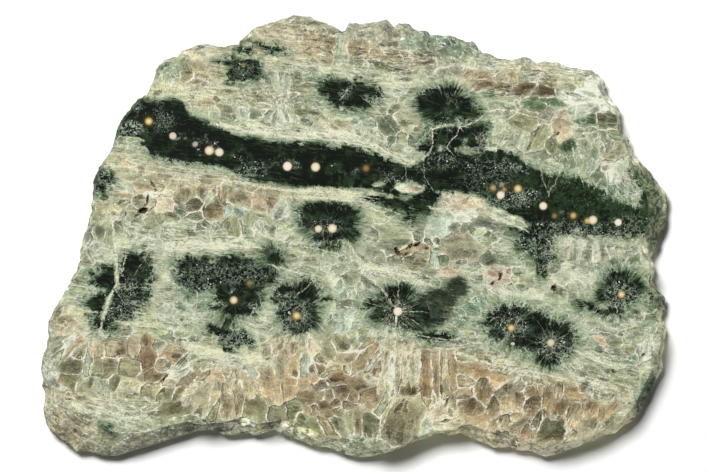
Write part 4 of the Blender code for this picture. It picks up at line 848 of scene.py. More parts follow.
# Direction from the nearest star blob's middle, its distance, and how much its fibres count here
def raysOver(points):
    ray = np.zeros((len(points), 3))
    weight = np.zeros(len(points))
    best = np.full(len(points), 1e9)
    for x, y, reach in starBlobs:
        d = points - (x, y)
        gap = np.hypot(d[:, 0], d[:, 1]) + 1e-6
        near = gap / reach < best
        best[near] = (gap / reach)[near]
        ray[near] = np.column_stack([d / gap[:, None], gap])[near]
        weight[near] = fade(gap / reach, 1.3, 0.8)[near]
    return ray, weight


# A line of points with its corners cut twice, each cut a quarter of the way along
def softLine(line):
    line = np.array(line, float)
    for _ in range(2):
        starts, ends = line[:-1], line[1:]
        cuts = np.stack([0.75 * starts + 0.25 * ends, 0.25 * starts + 0.75 * ends], 1).reshape(-1, 2)
        line = np.concatenate([line[:1], cuts, line[-1:]])
    return line


# The lines of the sprays: straight runs with a small random bend, each of a random length
def sprayLines():
    draw = np.random.default_rng(5)
    for x, y, near, far, start, end, count, width, bright in sprays:
        spread = 0.3 * (end - start) / count
        angles = np.radians(np.linspace(start, end, count) + draw.normal(0, spread, count))
        ends = near + (far - near) * draw.uniform(0.35, 1, count)
        bends = draw.normal(0, 0.12, count)
        for angle, reach, bend in zip(angles, ends, bends):
            steps = ((near, 0), ((near + reach) / 2, bend), (reach, -bend / 2))
            line = [(x + r * math.cos(angle + turn), y + r * math.sin(angle + turn)) for r, turn in steps]
            yield (width * draw.uniform(0.6, 1.2), bright * draw.uniform(0.5, 1.1), *line)


# The nearest vein or spray line: distance with a sign for its side, distance, half width, brightness
def veinsOver(points):
    places = stir(stir(points, 3, 0.4, 51), 0.9, 0.16, 55)
    found = np.zeros((len(points), 4))
    found[:, :2] = 50
    best = np.full(len(points), 1e9)
    for width, bright, *line in (*sprayLines(), *veins):
        line = softLine(line)
        inside = (places > line.min(0) - 3).all(1) & (places < line.max(0) + 3).all(1)
        gap, side, along = lineReach(places[inside], line)
        half = width / 2 * (1 - 0.55 * along)
        near = gap - half < best[inside]
        index = np.flatnonzero(inside)[near]
        best[index] = (gap - half)[near]
        found[index] = np.column_stack([side * gap, gap, half, np.full(len(gap), bright)])[near]
    return found


# The nearest orb: share of the way to its edge, how yellow and how bright it is
def orbsOver(points):
    found = np.zeros((len(points), 3))
    found[:, 0] = 9
    for x, y, width, yellow, bright in orbs:
        gap = np.hypot(*(points - (x, y)).T) / (width / 2)
        near = gap < found[:, 0]
        found[near] = np.column_stack([gap, np.full_like(gap, yellow), np.full_like(gap, bright)])[near]
    return found


# How deep the pits are at each place, in mm
def pitsOver(points):
    places = stir(points, 0.8, 0.3, 61)
    depth = np.zeros(len(points))
    for x, y, length, width, deep, turn in pits:
        depth = np.maximum(depth, deep * patch(places, (x, y, length / 2, width / 2, turn), 1.1, 0.5))
    return depth


# From metres in the scene to the drawing's millimetres
def toDrawing(points):
    return (points[:, :2] - np.array(boxLow[:2])) / mm


# The slab's form: a flat polished face on a warped rectangular grid, a rough rim and a coarser back
slabForm = {
    "gridX": 164, "gridY": 116,      # half the face's cells each way, both multiples of 4
    "rows": (0.99, 0.955, 0.9, 0.84, 0.77, 0.7, 0.62, 0.54, 0.46, 0.38, 0.29, 0.2, 0.1, 0.03, 0),
    "lumps": ((3.2, 0.42), (0.9, 0.3)),  # size and depth in mm of the rim's broken lumps and chips
    "keepClear": 2.6,                # what is further in from the outline than this, in mm, is a pit
    "backInset": 0.985,
}


# The CAD slab's outline at one height: where its triangles' edges cross that plane, as radius by angle
def outlineAt(height, corners):
    found = []
    for a, b in ((0, 1), (1, 2), (2, 0)):
        crosses = (corners[:, a, 2] > height) != (corners[:, b, 2] > height)
        start, end = corners[crosses, a], corners[crosses, b]
        share = (height - start[:, 2]) / (end[:, 2] - start[:, 2])
        found.append(start + share[:, None] * (end - start))
    found = np.concatenate(found)
    angle = np.arctan2(found[:, 1], found[:, 0])
    radius = np.hypot(found[:, 0], found[:, 1])
    sector = np.round(np.degrees(angle)).astype(int) % 360
    reach = np.zeros(360)
    np.maximum.at(reach, sector, radius)
    reach = np.maximum(reach, np.maximum(np.roll(reach, 1), np.roll(reach, -1)))
    keep = radius > reach[sector] - slabForm["keepClear"] * mm
    order = np.argsort(angle[keep])
    return angle[keep][order], radius[keep][order]


# A rectangle of grid points warped so that its edge is the outline: each point goes out along the ray
# from the middle by its share of the way to the rectangle's edge
def warpedGrid(halfX, halfY, angles, radii):
    i, j = np.meshgrid(np.arange(-halfX, halfX + 1), np.arange(-halfY, halfY + 1))
    share = np.maximum(abs(i) / halfX, abs(j) / halfY).ravel()
    angle = np.arctan2(j / halfY * (boxHigh.y - boxLow.y), i / halfX * (boxHigh.x - boxLow.x)).ravel()
    radius = np.interp(angle, angles, radii, period=turnAll) * share
    number = np.arange(i.size).reshape(i.shape)
    quads = np.stack([number[:-1, :-1], number[:-1, 1:], number[1:, 1:], number[1:, :-1]], -1)
    edge = np.concatenate([number[0, :-1], number[:-1, -1], number[-1, :0:-1], number[:0:-1, 0]])
    return np.column_stack([radius * np.cos(angle), radius * np.sin(angle)]), quads.reshape(-1, 4), edge


# The corners of each triangle of a CAD node
def cadCorners(node):
    node.data.calc_loop_triangles()
    places = np.empty(len(node.data.vertices) * 3)
    node.data.vertices.foreach_get("co", places)
    index = np.empty(len(node.data.loop_triangles) * 3, np.int32)
    node.data.loop_triangles.foreach_get("vertices", index)
    return places.reshape(-1, 3)[index].reshape(-1, 3, 3)


# The slab's surface. The face is the warped grid at the top height, less the depth of the pits. Each row
# of the rim is the CAD outline at its height, moved along its rays by noise of two sizes that fades out
# at the face and the back. The back is a warped grid a quarter as fine. Returns the points, the
# four-sided and the three-sided faces, and the first and last four-sided face of the rim.
def slabSurface():
    corners = cadCorners(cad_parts["slab"])
    low, tall = boxLow.z, boxHigh.z - boxLow.z
    halfX, halfY = slabForm["gridX"], slabForm["gridY"]

    # the polished face, with its pits
    flat, faceQuads, faceEdge = warpedGrid(halfX, halfY, *outlineAt(low + 0.998 * tall, corners))
    face = np.column_stack([flat, boxHigh.z - pitsOver(toDrawing(flat)) * mm])

    # the rim, row by row from the face's edge down to the back
    angle = np.arctan2(flat[faceEdge, 1], flat[faceEdge, 0])
    out = np.column_stack([np.cos(angle), np.sin(angle), 0 * angle])
    rows = []
    for share in slabForm["rows"]:
        outline = outlineAt(low + np.clip(share, 0.002, 0.998) * tall, corners)
        row = out * np.interp(angle, *outline, period=turnAll)[:, None] + (0, 0, low + share * tall)
        calm = fade(share, 0, 0.08) * fade(share, 1, 0.93)
        push = sum(depth * clouds(row / mm, size, 40) for size, depth in slabForm["lumps"])
        rows.append(row + out * (calm * mm * push)[:, None])
    rim = np.concatenate(rows)

    # the sawn back, a quarter as fine, joined to the rim's last row by a strip of triangles
    backReach = np.hypot(rows[-1][:, 0], rows[-1][:, 1]) * slabForm["backInset"]
    order = np.argsort(angle)
    flatBack, backQuads, backEdge = warpedGrid(halfX // 4, halfY // 4, angle[order], backReach[order])
    back = np.column_stack([flatBack, np.full(len(flatBack), low)])

    count = len(faceEdge)
    ring = np.arange(count)
    after = (ring + 1) % count
    loops = [faceEdge] + [len(face) + k * count + ring for k in range(len(rows))]
    rimQuads = [np.stack([a, b, b[after], a[after]], 1) for a, b in zip(loops, loops[1:])]
    backStart = len(face) + len(rim)
    outer, inner = loops[-1], backEdge + backStart
    here = np.arange(len(inner))
    there = (here + 1) % len(inner)
    strip = []
    for k in range(4):
        partner = inner[here] if k < 2 else inner[there]
        strip.append(np.stack([outer[4 * here + k], partner, outer[(4 * here + k + 1) % count]], 1))
    strip.append(np.stack([outer[4 * here + 2], inner[here], inner[there]], 1))
    quads = np.concatenate([faceQuads] + rimQuads + [backQuads[:, ::-1] + backStart])
    sides = (len(faceQuads), len(faceQuads) + len(rimQuads) * count)
    return np.concatenate([face, rim, back]), quads, np.concatenate(strip), sides


# A new object from arrays of points, four-sided faces and three-sided faces
def addMesh(name, points, quads, triangles):
    mesh = bpy.data.meshes.new(name)
    corners = np.concatenate([quads.ravel(), triangles.ravel()])
    starts = np.concatenate([np.arange(len(quads)) * 4, len(quads) * 4 + np.arange(len(triangles)) * 3])
    mesh.vertices.add(len(points))
    mesh.vertices.foreach_set("co", points.ravel())
    mesh.loops.add(len(corners))
    mesh.loops.foreach_set("vertex_index", corners)
    mesh.polygons.add(len(starts))
    mesh.polygons.foreach_set("loop_start", starts)
    mesh.update(calc_edges=True)
    mesh.validate()
    piece = bpy.data.objects.new(name, mesh)
    bpy.context.scene.collection.objects.link(piece)
    return piece


# From a screen colour, 0 to 255, to the linear values that a material takes
def toLinear(colour):
    share = np.clip(np.array(colour, float) / 255, 0, 1)
    return np.where(share <= 0.04045, share / 12.92, ((share + 0.055) / 1.055) ** 2.4)


# Keeps four values for each point of the mesh under a name
def keepColours(piece, name, values):
    layer = piece.data.attributes.new(name, "FLOAT_COLOR", "POINT")
    layer.data.foreach_set("color", np.ascontiguousarray(values, np.float32).ravel())


# Keeps the pattern at each point of the mesh, for the material to read
def paintSlab(piece, points):
    places = toDrawing(points)
    shade, seamGap, seamSide, seamWhite, cellX, cellY, chance, upper, hold = cellsOver(places)
    smooth = washOver(places)
    depth = darkOver(places)
    ray, rayWeight = raysOver(places)
    along, across, bedShare = bedsOver(places)
    fadeLow = np.clip(-upper, 0, 1)
    hold = hold * (1 - cells["bedHold"] * bedShare) * (1 - cells["lowHold"] * fadeLow)
    seamWhite = seamWhite * (1 - cells["bedSeams"] * bedShare) * (1 - cells["lowSeams"] * fadeLow)
    blend = (smooth + hold[:, None] * (shade - smooth)) * (1 - cells["capDepth"] * upper * hold)[:, None]
    height = (points[:, 2] - boxLow.z) / (boxHigh.z - boxLow.z)
    keepColours(piece, "stonePaint", np.column_stack([toLinear(blend), seamGap]))
    keepColours(piece, "cellPlace", np.column_stack([cellX, cellY, chance, seamWhite]))
    crowds = specksOver(places)
    keepColours(piece, "darkShape", np.column_stack([depth, rayWeight, crowds, hazeOver(places)]))
    keepColours(piece, "rayPlace", np.column_stack([ray, pitsOver(places)]))
    keepColours(piece, "bedPlace", np.column_stack([along, across, height, bedShare]))
    keepColours(piece, "veinPlace", veinsOver(places))
    keepColours(piece, "orbPlace", np.column_stack([orbsOver(places), seamSide]))


# Colours of the layers that the material lays over the painted ones, from 0 to 255
layerTints = {
    "crystalLine": (228, 230, 211), "paleBed": (228, 225, 198), "darkBed": (94, 96, 72),
    "flatWisp": (226, 228, 210), "freeWisp": (230, 233, 214),
    "seamGlow": (206, 200, 170), "seam": (237, 232, 212),
    "coolHaze": (96, 120, 92), "warmHaze": (96, 112, 76),
    "deepBody": (22, 30, 22), "softBody": (66, 80, 60),
    "ring": (224, 221, 188), "paleHair": (224, 226, 198), "darkHair": (80, 104, 74),
    "outerFringe": (120, 142, 110), "innerFringe": (70, 94, 64),
    "night": (21, 28, 20), "mossyNight": (46, 64, 40), "greenNight": (56, 78, 50),
    "glassyNight": (98, 124, 90), "fibredNight": (66, 86, 60),
    "edgeLace": (214, 223, 198), "innerLace": (182, 196, 172),
    "dimFleck": (104, 122, 104), "paleFleck": (226, 231, 216), "dust": (186, 198, 182),
    "vein": (234, 230, 202),
    "goldGlow": (100, 84, 38), "whiteOrb": (244, 232, 212), "yellowOrb": (218, 188, 108),
    "orbMiddle": (250, 236, 208),
    "pitEdge": (176, 154, 116), "pitFloor": (70, 50, 30),
    "darkRim": (34, 46, 26), "greenRim": (112, 124, 92),
}

# Factors for red, green and blue, how far the detail stands out, and how the surface takes the light
jasper = {
    "warmer": (1.06, 1.0, 0.87), "greener": (0.84, 1.0, 0.88), "cast": (0.98, 1.0, 1.035), "gamma": 1.12,
    "calmShare": 0.98, "contrast": (0.5, 0.5, 0.5),
    "darkest": (0.03, 0.03, 0.02), "palest": (0.88, 0.88, 0.76),
    "polished": 0.2, "broken": 0.72, "refraction": 1.54, "grainHeight": 0.6, "grainStrength": 0.8,
}


def jasperMaterial():
    material = bpy.data.materials.new("polishedJasper")
    material.use_nodes = True
    tree = material.node_tree
    surface = tree.nodes["Principled BSDF"]

    def add(kind, values, **settings):
        node = tree.nodes.new("ShaderNode" + kind)
        for key, value in settings.items():
            setattr(node, key, value)
        for key, value in values.items():
            if isinstance(value, bpy.types.NodeSocket):
                tree.links.new(value, node.inputs[key])
            else:
                node.inputs[key].default_value = value
        return node

    def calc(operation, first, second=0.0, third=0.0):
        return add("Math", {0: first, 1: second, 2: third}, operation=operation).outputs[0]

    def minus(first, second):
        return calc("SUBTRACT", first, second)

    # The first value times the second, plus the third
    def scaleAdd(first, second, third):
        return calc("MULTIPLY_ADD", first, second, third)

    # How far a noise is from its middle value
    def swing(value):
        return minus(value, 0.5)

    def ease(value, low, high, start=0.0, end=1.0):
        values = {0: value, 1: low, 2: high, 3: start, 4: end}
        return add("MapRange", values, interpolation_type="SMOOTHSTEP").outputs[0]

    def blend(share, first, second):
        return add("Mix", {0: share, 2: first, 3: second}).outputs[0]

    def product(*values):
        total = values[0]
        for value in values[1:]:
            total = calc("MULTIPLY", total, value)
        return total

    def tint(name):
        return (*toLinear({**tints, **layerTints}[name]), 1.0)

    def mix(share, first, second):
        first, second = (s if isinstance(s, bpy.types.NodeSocket) else tint(s) for s in (first, second))
        return add("Mix", {0: share, 6: first, 7: second}, data_type="RGBA").outputs[2]

    def vector(operation, *values):
        return add("VectorMath", dict(enumerate(values)), operation=operation).outputs[0]

    def scaled(colour, factor):
        return add("VectorMath", {0: colour, "Scale": factor}, operation="SCALE").outputs[0]

    def join(x, y, z):
        return add("CombineXYZ", {0: x, 1: y, 2: z}).outputs[0]

    def parts(value):
        return add("SeparateXYZ", {0: value}).outputs

    def noise(places, scale, detail=2.0, rough=0.5):
        values = {"Vector": places, "Scale": scale, "Detail": detail, "Roughness": rough}
        return add("TexNoise", values).outputs[0]

    def voronoi(places, scale, feature, output, **settings):
        node = add("TexVoronoi", {"Vector": places, "Scale": scale}, feature=feature, **settings)
        return node.outputs[output]

    # A random value for each grain of the given scale
    def grainRoll(places, scale):
        return parts(voronoi(places, scale, "F1", "Color"))[0]

    # Streaks of the given length and width along x
    def streaks(x, y, length, width, layer, detail=2.0, rough=0.55):
        return noise(join(product(x, 1 / length), product(y, 1 / width), layer), 1.0, detail, rough)

    def read(name):
        source = add("Attribute", {}, attribute_name=name)
        return (source.outputs["Color"], *parts(source.outputs["Vector"]), source.outputs["Alpha"])

    # Thin wandering lines: where the noise comes within the given width of its middle value
    def wisps(value, width):
        return ease(calc("ABSOLUTE", swing(value)), 0.0, width, 1.0, 0.0)

    paint, _, _, _, seamGap = read("stonePaint")
    _, cellX, cellY, chance, seamWhite = read("cellPlace")
    _, depth, rayWeight, speckShare, haze = read("darkShape")
    _, rayX, rayY, rayGap, pitDepth = read("rayPlace")
    _, along, across, height, bedShare = read("bedPlace")
    _, veinSide, veinGap, veinHalf, veinBright = read("veinPlace")
    _, orbShare, orbYellow, orbBright, seamSide = read("orbPlace")
    place = scaled(add("TexCoord", {}).outputs["Object"], 1 / mm)
    placeX, placeY = parts(place)[:2]
    wobble = add("TexNoise", {"Vector": place, "Scale": 0.5, "Detail": 3.0}).outputs["Color"]
    wavy = vector("MULTIPLY_ADD", wobble, (1.6, 1.6, 1.6), place)
    rim = product(ease(height, 0.999, 0.985), ease(pitDepth, 0.1, 0.0))
    grainy = noise(place, 2.6, 2.0, 0.75)
    fine = noise(place, 0.9, 3.0, 0.7)

    # Fibres that run out from the nearest star blob's middle, and fibres that lie nearly flat
    def rayNoise(spread, run, detail, rough):
        fan = join(product(rayX, spread), product(rayY, spread), product(rayGap, run))
        return noise(fan, 1.0, detail, rough)

    def flatNoise(run, slope, spread, layer, detail, rough):
        tilted = scaleAdd(placeX, slope, product(placeY, spread))
        return noise(join(product(placeX, run), tilted, layer), 1.0, detail, rough)

    # clouds and grain, warmer here and greener there
    cloudy = noise(wavy, 0.28, 4.0, 0.62)
    base = scaled(paint, ease(cloudy, 0.3, 0.7, 0.88, 1.12))
    warmShare = ease(noise(wavy, 0.42, 3.0, 0.6), 0.42, 0.62, 0.0, 0.35)
    base = mix(warmShare, base, vector("MULTIPLY", base, jasper["warmer"]))
    greenShare = ease(noise(wavy, 0.37, 3.0, 0.6), 0.48, 0.68, 0.0, 0.15)
    base = mix(greenShare, base, vector("MULTIPLY", base, jasper["greener"]))
    base = scaled(base, ease(grainy, 0.25, 0.75, 0.89, 1.11))
    base = scaled(base, ease(noise(place, 4.5, 1.0), 0.3, 0.7, 0.85, 1.14))

    # cells: paler towards their edges, with soft flat stripes, and some of them fibred lengthwise
    inCell = ease(seamGap, 0.1, 0.6)
    calm = ease(seamWhite, 0.75, 0.4, 0.3, 1.0)
    base = scaled(base, ease(seamGap, 0.1, 1.4, 1.12, 0.94))
    striped = streaks(placeX, scaleAdd(placeX, 0.1, placeY), 6.0, 1.1, product(chance, 9.0))
    base = scaled(base, ease(striped, 0.34, 0.66, scaleAdd(bedShare, -0.08, 0.94), 1.06))
    fibred = streaks(cellX, cellY, 3.2, 0.5, product(chance, 40.0))
    fibreShare = product(inCell, ease(chance, 0.3, 0.9, 0.2, 1.0))
    base = scaled(base, calc("ADD", 1.0, product(fibreShare, ease(fibred, 0.36, 0.64, -0.14, 0.14))))
    hairline = streaks(cellX, cellY, 1.8, 0.2, product(chance, 23.0), 1.0, 0.5)
    base = scaled(base, ease(hairline, 0.32, 0.68, 0.94, 1.05))

    # small crystals inside the cells, each with its own shade, some outlined by a thin pale line
    bent = scaleAdd(fine, 1.6, product(chance, 57.0))
    small = join(scaleAdd(cellX, 0.4, bent), scaleAdd(cellY, 0.7, product(grainy, 0.25)), 0.0)
    smallRoll = parts(voronoi(small, 1.0, "F1", "Color", voronoi_dimensions="2D"))[0]
    smallEdge = voronoi(small, 1.0, "DISTANCE_TO_EDGE", "Distance", voronoi_dimensions="2D")
    base = scaled(base, ease(smallRoll, 0.0, 1.0, 0.83, 1.11))
    base = scaled(base, ease(smallRoll, 0.1, 0.04, 1.0, 0.8))
    smallPlace = ease(noise(place, 0.23, 3.0, 0.6), 0.46, 0.6)
    smallLine = product(ease(smallEdge, 0.02, 0.08, 1.0, 0.0), smallPlace, calm, 0.8)
    base = mix(smallLine, base, "crystalLine")

    # beds: dark and pale streaks, and crisp cream and dark lines among them
    bedY = scaleAdd(fine, 0.5, across)
    bedded = streaks(along, bedY, 9.0, 0.9, 1.0, 2.0, 0.6)
    base = scaled(base, calc("ADD", 1.0, product(bedShare, ease(bedded, 0.36, 0.64, -0.15, 0.12))))
    paleBed = wisps(streaks(along, bedY, 10.0, 1.0, 5.0), 0.03)
    base = mix(product(paleBed, bedShare, 0.6), base, "paleBed")
    darkBed = wisps(streaks(along, bedY, 7.0, 1.0, 9.0), 0.016)
    base = mix(product(darkBed, bedShare, 0.55), base, "darkBed")

    # white wisps, thin and broken, here and there
    wispShare = ease(noise(place, 0.11, 2.0), 0.44, 0.62)
    flatWisp = wisps(streaks(placeX, scaleAdd(placeX, 0.12, placeY), 6.5, 1.0, 5.0, 3.0, 0.6), 0.025)
    freeWisp = wisps(noise(wavy, 0.3, 4.0, 0.65), 0.022)
    base = mix(product(flatWisp, wispShare, 0.25), base, "flatWisp")
    base = mix(product(freeWisp, ease(fine, 0.5, 0.62), calm, 0.8), base, "freeWisp")

    # the white seams between the crystal cells, thick and thin, with a dark line beside some
    seamNear = product(ease(seamGap, 0.95, 0.5), seamWhite)
    seamShift = scaleAdd(grainy, 0.3, scaleAdd(fine, 0.5, -0.4))
    seamAt = calc("ADD", seamSide, seamShift)
    seamHalf = ease(noise(place, 0.4, 3.0, 0.65), 0.42, 0.72, 0.0, 0.26)
    base = mix(product(ease(seamGap, 0.9, 0.1), seamWhite, 0.2), base, "seamGlow")
    seamTint = mix(0.28, "seam", base)
    beside = minus(seamAt, seamHalf)
    besideShare = ease(chance, 0.35, 0.6, 0.1, 0.55)
    seamDark = product(ease(beside, 0.0, 0.12), ease(beside, 0.55, 0.2), seamNear, besideShare)
    base = scaled(base, minus(1.0, seamDark))
    seamBreak = ease(noise(place, 0.4, 3.0, 0.6), 0.4, 0.58, 0.15, 1.1)
    seamOut = minus(calc("ABSOLUTE", seamAt), seamHalf)
    base = mix(product(ease(seamOut, -0.05, 0.1, 1.0, 0.0), seamNear, seamBreak), base, seamTint)

    # all of this stands out more from the broad colours
    extra = vector("SUBTRACT", base, scaled(paint, jasper["calmShare"]))
    base = vector("MULTIPLY_ADD", extra, jasper["contrast"], base)
    base = vector("MAXIMUM", base, jasper["darkest"])
    base = vector("MINIMUM", base, jasper["palest"])

    # green haze round the dark bodies, with fibres in it: upright ones in the right part of the stone
    rayFibre = rayNoise(7.0, 0.25, 3.0, 0.65)
    flatFibre = flatNoise(0.25, 0.25, 1.6, 7.0, 3.0, 0.65)
    tallFibre = streaks(scaleAdd(placeY, 0.15, placeX), placeY, 0.7, 5.0, 3.0, 3.0, 0.65)
    greenPlace = product(ease(placeX, 26.0, 60.0), ease(scaleAdd(placeX, 0.28, placeY), 15.0, 25.0))
    fibre = blend(rayWeight, blend(greenPlace, flatFibre, tallFibre), rayFibre)
    streak = swing(fibre)
    hazeTint = mix(ease(noise(place, 0.2, 2.0), 0.4, 0.6), "coolHaze", "warmHaze")
    base = mix(product(ease(scaleAdd(streak, 3.6, haze), 0.3, 1.3), 0.34), base, hazeTint)

    # a streaky cream ring round the dark bodies, and hair-thin lines running out of them
    ring = product(ease(depth, -5.0, -3.2), ease(depth, -1.0, -2.2))
    ringStreak = ease(scaleAdd(streak, 2.4, cloudy), 0.44, 0.7)
    base = mix(product(ring, ringStreak, 0.4), base, "ring")
    hairs = blend(rayWeight, flatNoise(0.3, 0.4, 2.8, 2.0, 2.0, 0.5), rayNoise(16.0, 0.3, 2.0, 0.5))
    nearDark = ease(depth, -5.0, -1.0)
    base = mix(product(ease(hairs, 0.57, 0.62), nearDark, 0.62), base, "paleHair")
    base = mix(product(ease(hairs, 0.43, 0.37), nearDark, 0.6), base, "darkHair")

    # dark bodies: facets and streaks in a green fringe round them
    tufts = rayNoise(3.0, 0.12, 2.0, 0.6)
    facetShift = product(swing(grainRoll(wavy, 0.62)), minus(1.0, rayWeight), 2.4)
    feather = calc("ADD", scaleAdd(streak, 4.0, depth), facetShift)
    feather = scaleAdd(product(rayWeight, swing(tufts)), 2.2, feather)
    feather = scaleAdd(swing(hairs), 4.6, feather)
    feather = scaleAdd(swing(cloudy), 3.0, feather)
    feather = scaleAdd(swing(grainy), 2.4, feather)
    feather = scaleAdd(product(greenPlace, swing(tallFibre)), 7.0, feather)
    base = mix(product(ease(feather, -2.6, -0.8), 0.42), base, "outerFringe")
    base = mix(product(ease(feather, -1.2, 0.3), 0.8), base, "innerFringe")

    # a soft grey-green body where the haze is strongest
    greyShare = ease(scaleAdd(grainy, 0.5, product(fibre, 0.5)), 0.4, 0.62)
    bodyReach = scaleAdd(swing(flatFibre), 4.0, scaleAdd(swing(cloudy), 3.6, haze))
    bodyShare = product(ease(bodyReach, 0.9, 2.3), ease(haze, 0.9, 1.9), 0.95)
    base = mix(bodyShare, base, mix(greyShare, "deepBody", "softBody"))

    # the near-black middle of the dark bodies, with mossy and fibred places
    mossy = ease(noise(wavy, 0.3, 4.0, 0.65), 0.48, 0.66)
    greenShare = product(greenPlace, ease(noise(wavy, 0.55, 5.0, 0.75), 0.42, 0.6), 0.75)
    glassyShare = product(greenPlace, ease(noise(wavy, 1.4, 4.0, 0.75), 0.54, 0.66), 0.6)
    fibredShare = product(ease(fibre, 0.52, 0.66), ease(depth, 6.0, 0.5, 0.2, 0.9))
    nightTint = mix(mossy, "night", "mossyNight")
    nightTint = mix(greenShare, nightTint, "greenNight")
    nightTint = mix(glassyShare, nightTint, "glassyNight")
    nightTint = mix(fibredShare, nightTint, "fibredNight")
    base = mix(ease(feather, -0.4, 0.9), base, nightTint)
    inDark = ease(depth, -0.6, 0.6)

    # a lace of thin pale lines along the edge of the dark
    lace = wisps(noise(wavy, 0.5, 4.0, 0.7), 0.034)
    laceBreak = ease(noise(place, 0.17, 2.0), 0.42, 0.58)
    laceShare = product(ease(depth, -2.6, -0.6), ease(depth, 1.4, 0.0), laceBreak)
    base = mix(product(lace, laceShare, 0.85), base, "edgeLace")

    # pale flecks, dust and hairs in the dark, most of them in the crowds
    fleckGap = voronoi(wavy, 2.4, "F1", "Distance")
    fleckRoll = grainRoll(wavy, 2.4)
    fleckArea = calc("MAXIMUM", ease(noise(place, 0.2, 3.0, 0.6), 0.54, 0.72, 0.0, 0.8), speckShare)
    fleckSize = ease(fleckRoll, minus(0.95, product(fleckArea, 0.55)), 1.1, 0.0, 0.52)
    fleckSize = product(fleckSize, ease(fine, 0.4, 0.6, 0.4, 1.2))
    fleckEdge = ease(minus(fleckGap, fleckSize), -0.08, 0.05, 1.0, 0.0)
    fleck = product(fleckEdge, ease(fleckSize, 0.02, 0.1), inDark, 0.85)
    base = mix(fleck, base, mix(ease(fleckRoll, 0.6, 0.95), "dimFleck", "paleFleck"))
    dustGap = voronoi(place, 3.2, "F1", "Distance")
    dustChosen = ease(grainRoll(place, 3.2), minus(0.98, product(fleckArea, 0.6)), 1.0)
    base = mix(product(ease(dustGap, 0.36, 0.2), dustChosen, inDark, 0.65), base, "dust")
    base = mix(product(lace, fleckArea, inDark, 0.9), base, "innerLace")

    # veins, broken here and there
    shift = scaleAdd(noise(place, 0.8, 4.0, 0.75), 1.3, -0.65)
    veinReach = calc("ABSOLUTE", calc("ADD", veinSide, shift))
    veinCore = minus(veinReach, product(veinHalf, scaleAdd(veinHalf, 0.9, 0.35)))
    veinBreak = ease(noise(place, 1.0, 3.0, 0.65), 0.4, 0.56, 0.15, 1.15)
    vein = product(ease(veinCore, -0.08, 0.14, 1.0, 0.0), ease(veinGap, 1.5, 0.9), veinBright, veinBreak)
    base = mix(vein, base, "vein")

    # round orbs, white or yellow, with a dull gold glow round the yellow ones
    glow = product(ease(orbShare, 1.9, 0.8), orbYellow, orbBright, 0.5)
    base = mix(glow, base, "goldGlow")
    orbEdge = blend(orbYellow, ease(orbShare, 1.08, 0.66), ease(orbShare, 1.12, 0.35))
    orbTint = mix(orbYellow, "whiteOrb", "yellowOrb")
    orbTint = mix(product(ease(orbShare, 0.7, 0.1), 0.7), orbTint, "orbMiddle")
    base = mix(product(orbEdge, orbBright), base, orbTint)

    # brown in the pits
    pitDepth = product(pitDepth, ease(noise(place, 1.5, 3.0, 0.7), 0.42, 0.56, 0.5, 1.15))
    base = mix(product(ease(pitDepth, 0.02, 0.25), 0.55), base, "pitEdge")
    base = mix(ease(pitDepth, 0.25, 0.75), base, "pitFloor")

    # the rough rim: sugary grains and chunks, with painted shade in the bump's hollows and between the
    # chunks; painted light makes it paler at the lower right, the side the key light leaves in shade, where
    # it is also more frosted
    sugar = grainRoll(place, 1.3)
    chunkRoll, warmRoll = parts(voronoi(wavy, 0.5, "F1", "Color"))[:2]
    chunkEdge = voronoi(wavy, 0.5, "DISTANCE_TO_EDGE", "Distance")
    rough = noise(place, 0.9, 5.0, 0.7)
    shadeSide = scaleAdd(placeX, 0.75, product(placeY, -1.0))
    # sugary grains, with painted shade where the rough bump is low
    rimGrainAndPaintedShading = product(ease(sugar, 0.0, 1.0, 0.88, 1.14), ease(rough, 0.36, 0.56, 0.68, 1.18))
    # painted light: up to 2.3 times paler towards the lower right, where the rim faces away from the key
    # light
    rimGrainAndPaintedShading = product(rimGrainAndPaintedShading, ease(shadeSide, -18.0, 66.0, 0.88, 2.3))
    # chunks of random tone, with painted shade in the crevices along their edges, mostly left of the middle
    # and on the shaded side
    chunkToneAndCreviceShade = product(ease(chunkRoll, 0.05, 0.95, 0.55, 1.45), ease(chunkEdge, 0.03, 0.14, 0.6, 1.0))
    chunkAndCreviceShadeShare = ease(calc("ABSOLUTE", calc("ADD", placeX, 30.0)), 26.0, 12.0, 0.35, 1.0)
    chunkAndCreviceShadeShare = product(chunkAndCreviceShadeShare, ease(shadeSide, -20.0, 30.0, 0.3, 1.0))
    rimGrainAndPaintedShading = product(rimGrainAndPaintedShading, blend(chunkAndCreviceShadeShare, 1.05, chunkToneAndCreviceShade))
    frostShare = product(ease(warmRoll, 0.3, 0.9), ease(shadeSide, 0.0, 50.0, 0.35, 0.7))
    frosted = mix(frostShare, base, mix(ease(warmRoll, 0.5, 0.7), "tan", "sand"))
    rimDark = mix(ease(rough, 0.4, 0.66), "darkRim", "greenRim")
    frosted = mix(ease(depth, -3.0, 0.5, 0.0, 0.8), frosted, rimDark)
    base = mix(rim, base, scaled(frosted, rimGrainAndPaintedShading))

    base = vector("MULTIPLY", add("Gamma", {0: base, 1: jasper["gamma"]}).outputs[0], jasper["cast"])
    tree.links.new(base, surface.inputs["Base Color"])
    roughShare = calc("MAXIMUM", rim, ease(pitDepth, 0.0, 0.06))
    tree.links.new(blend(roughShare, jasper["polished"], jasper["broken"]), surface.inputs["Roughness"])
    surface.inputs["IOR"].default_value = jasper["refraction"]
    grain = add("Bump", {"Height": product(rim, rough), "Distance": jasper["grainHeight"] * mm})
    grain.inputs["Strength"].default_value = jasper["grainStrength"]
    tree.links.new(grain.outputs[0], surface.inputs["Normal"])
    return material


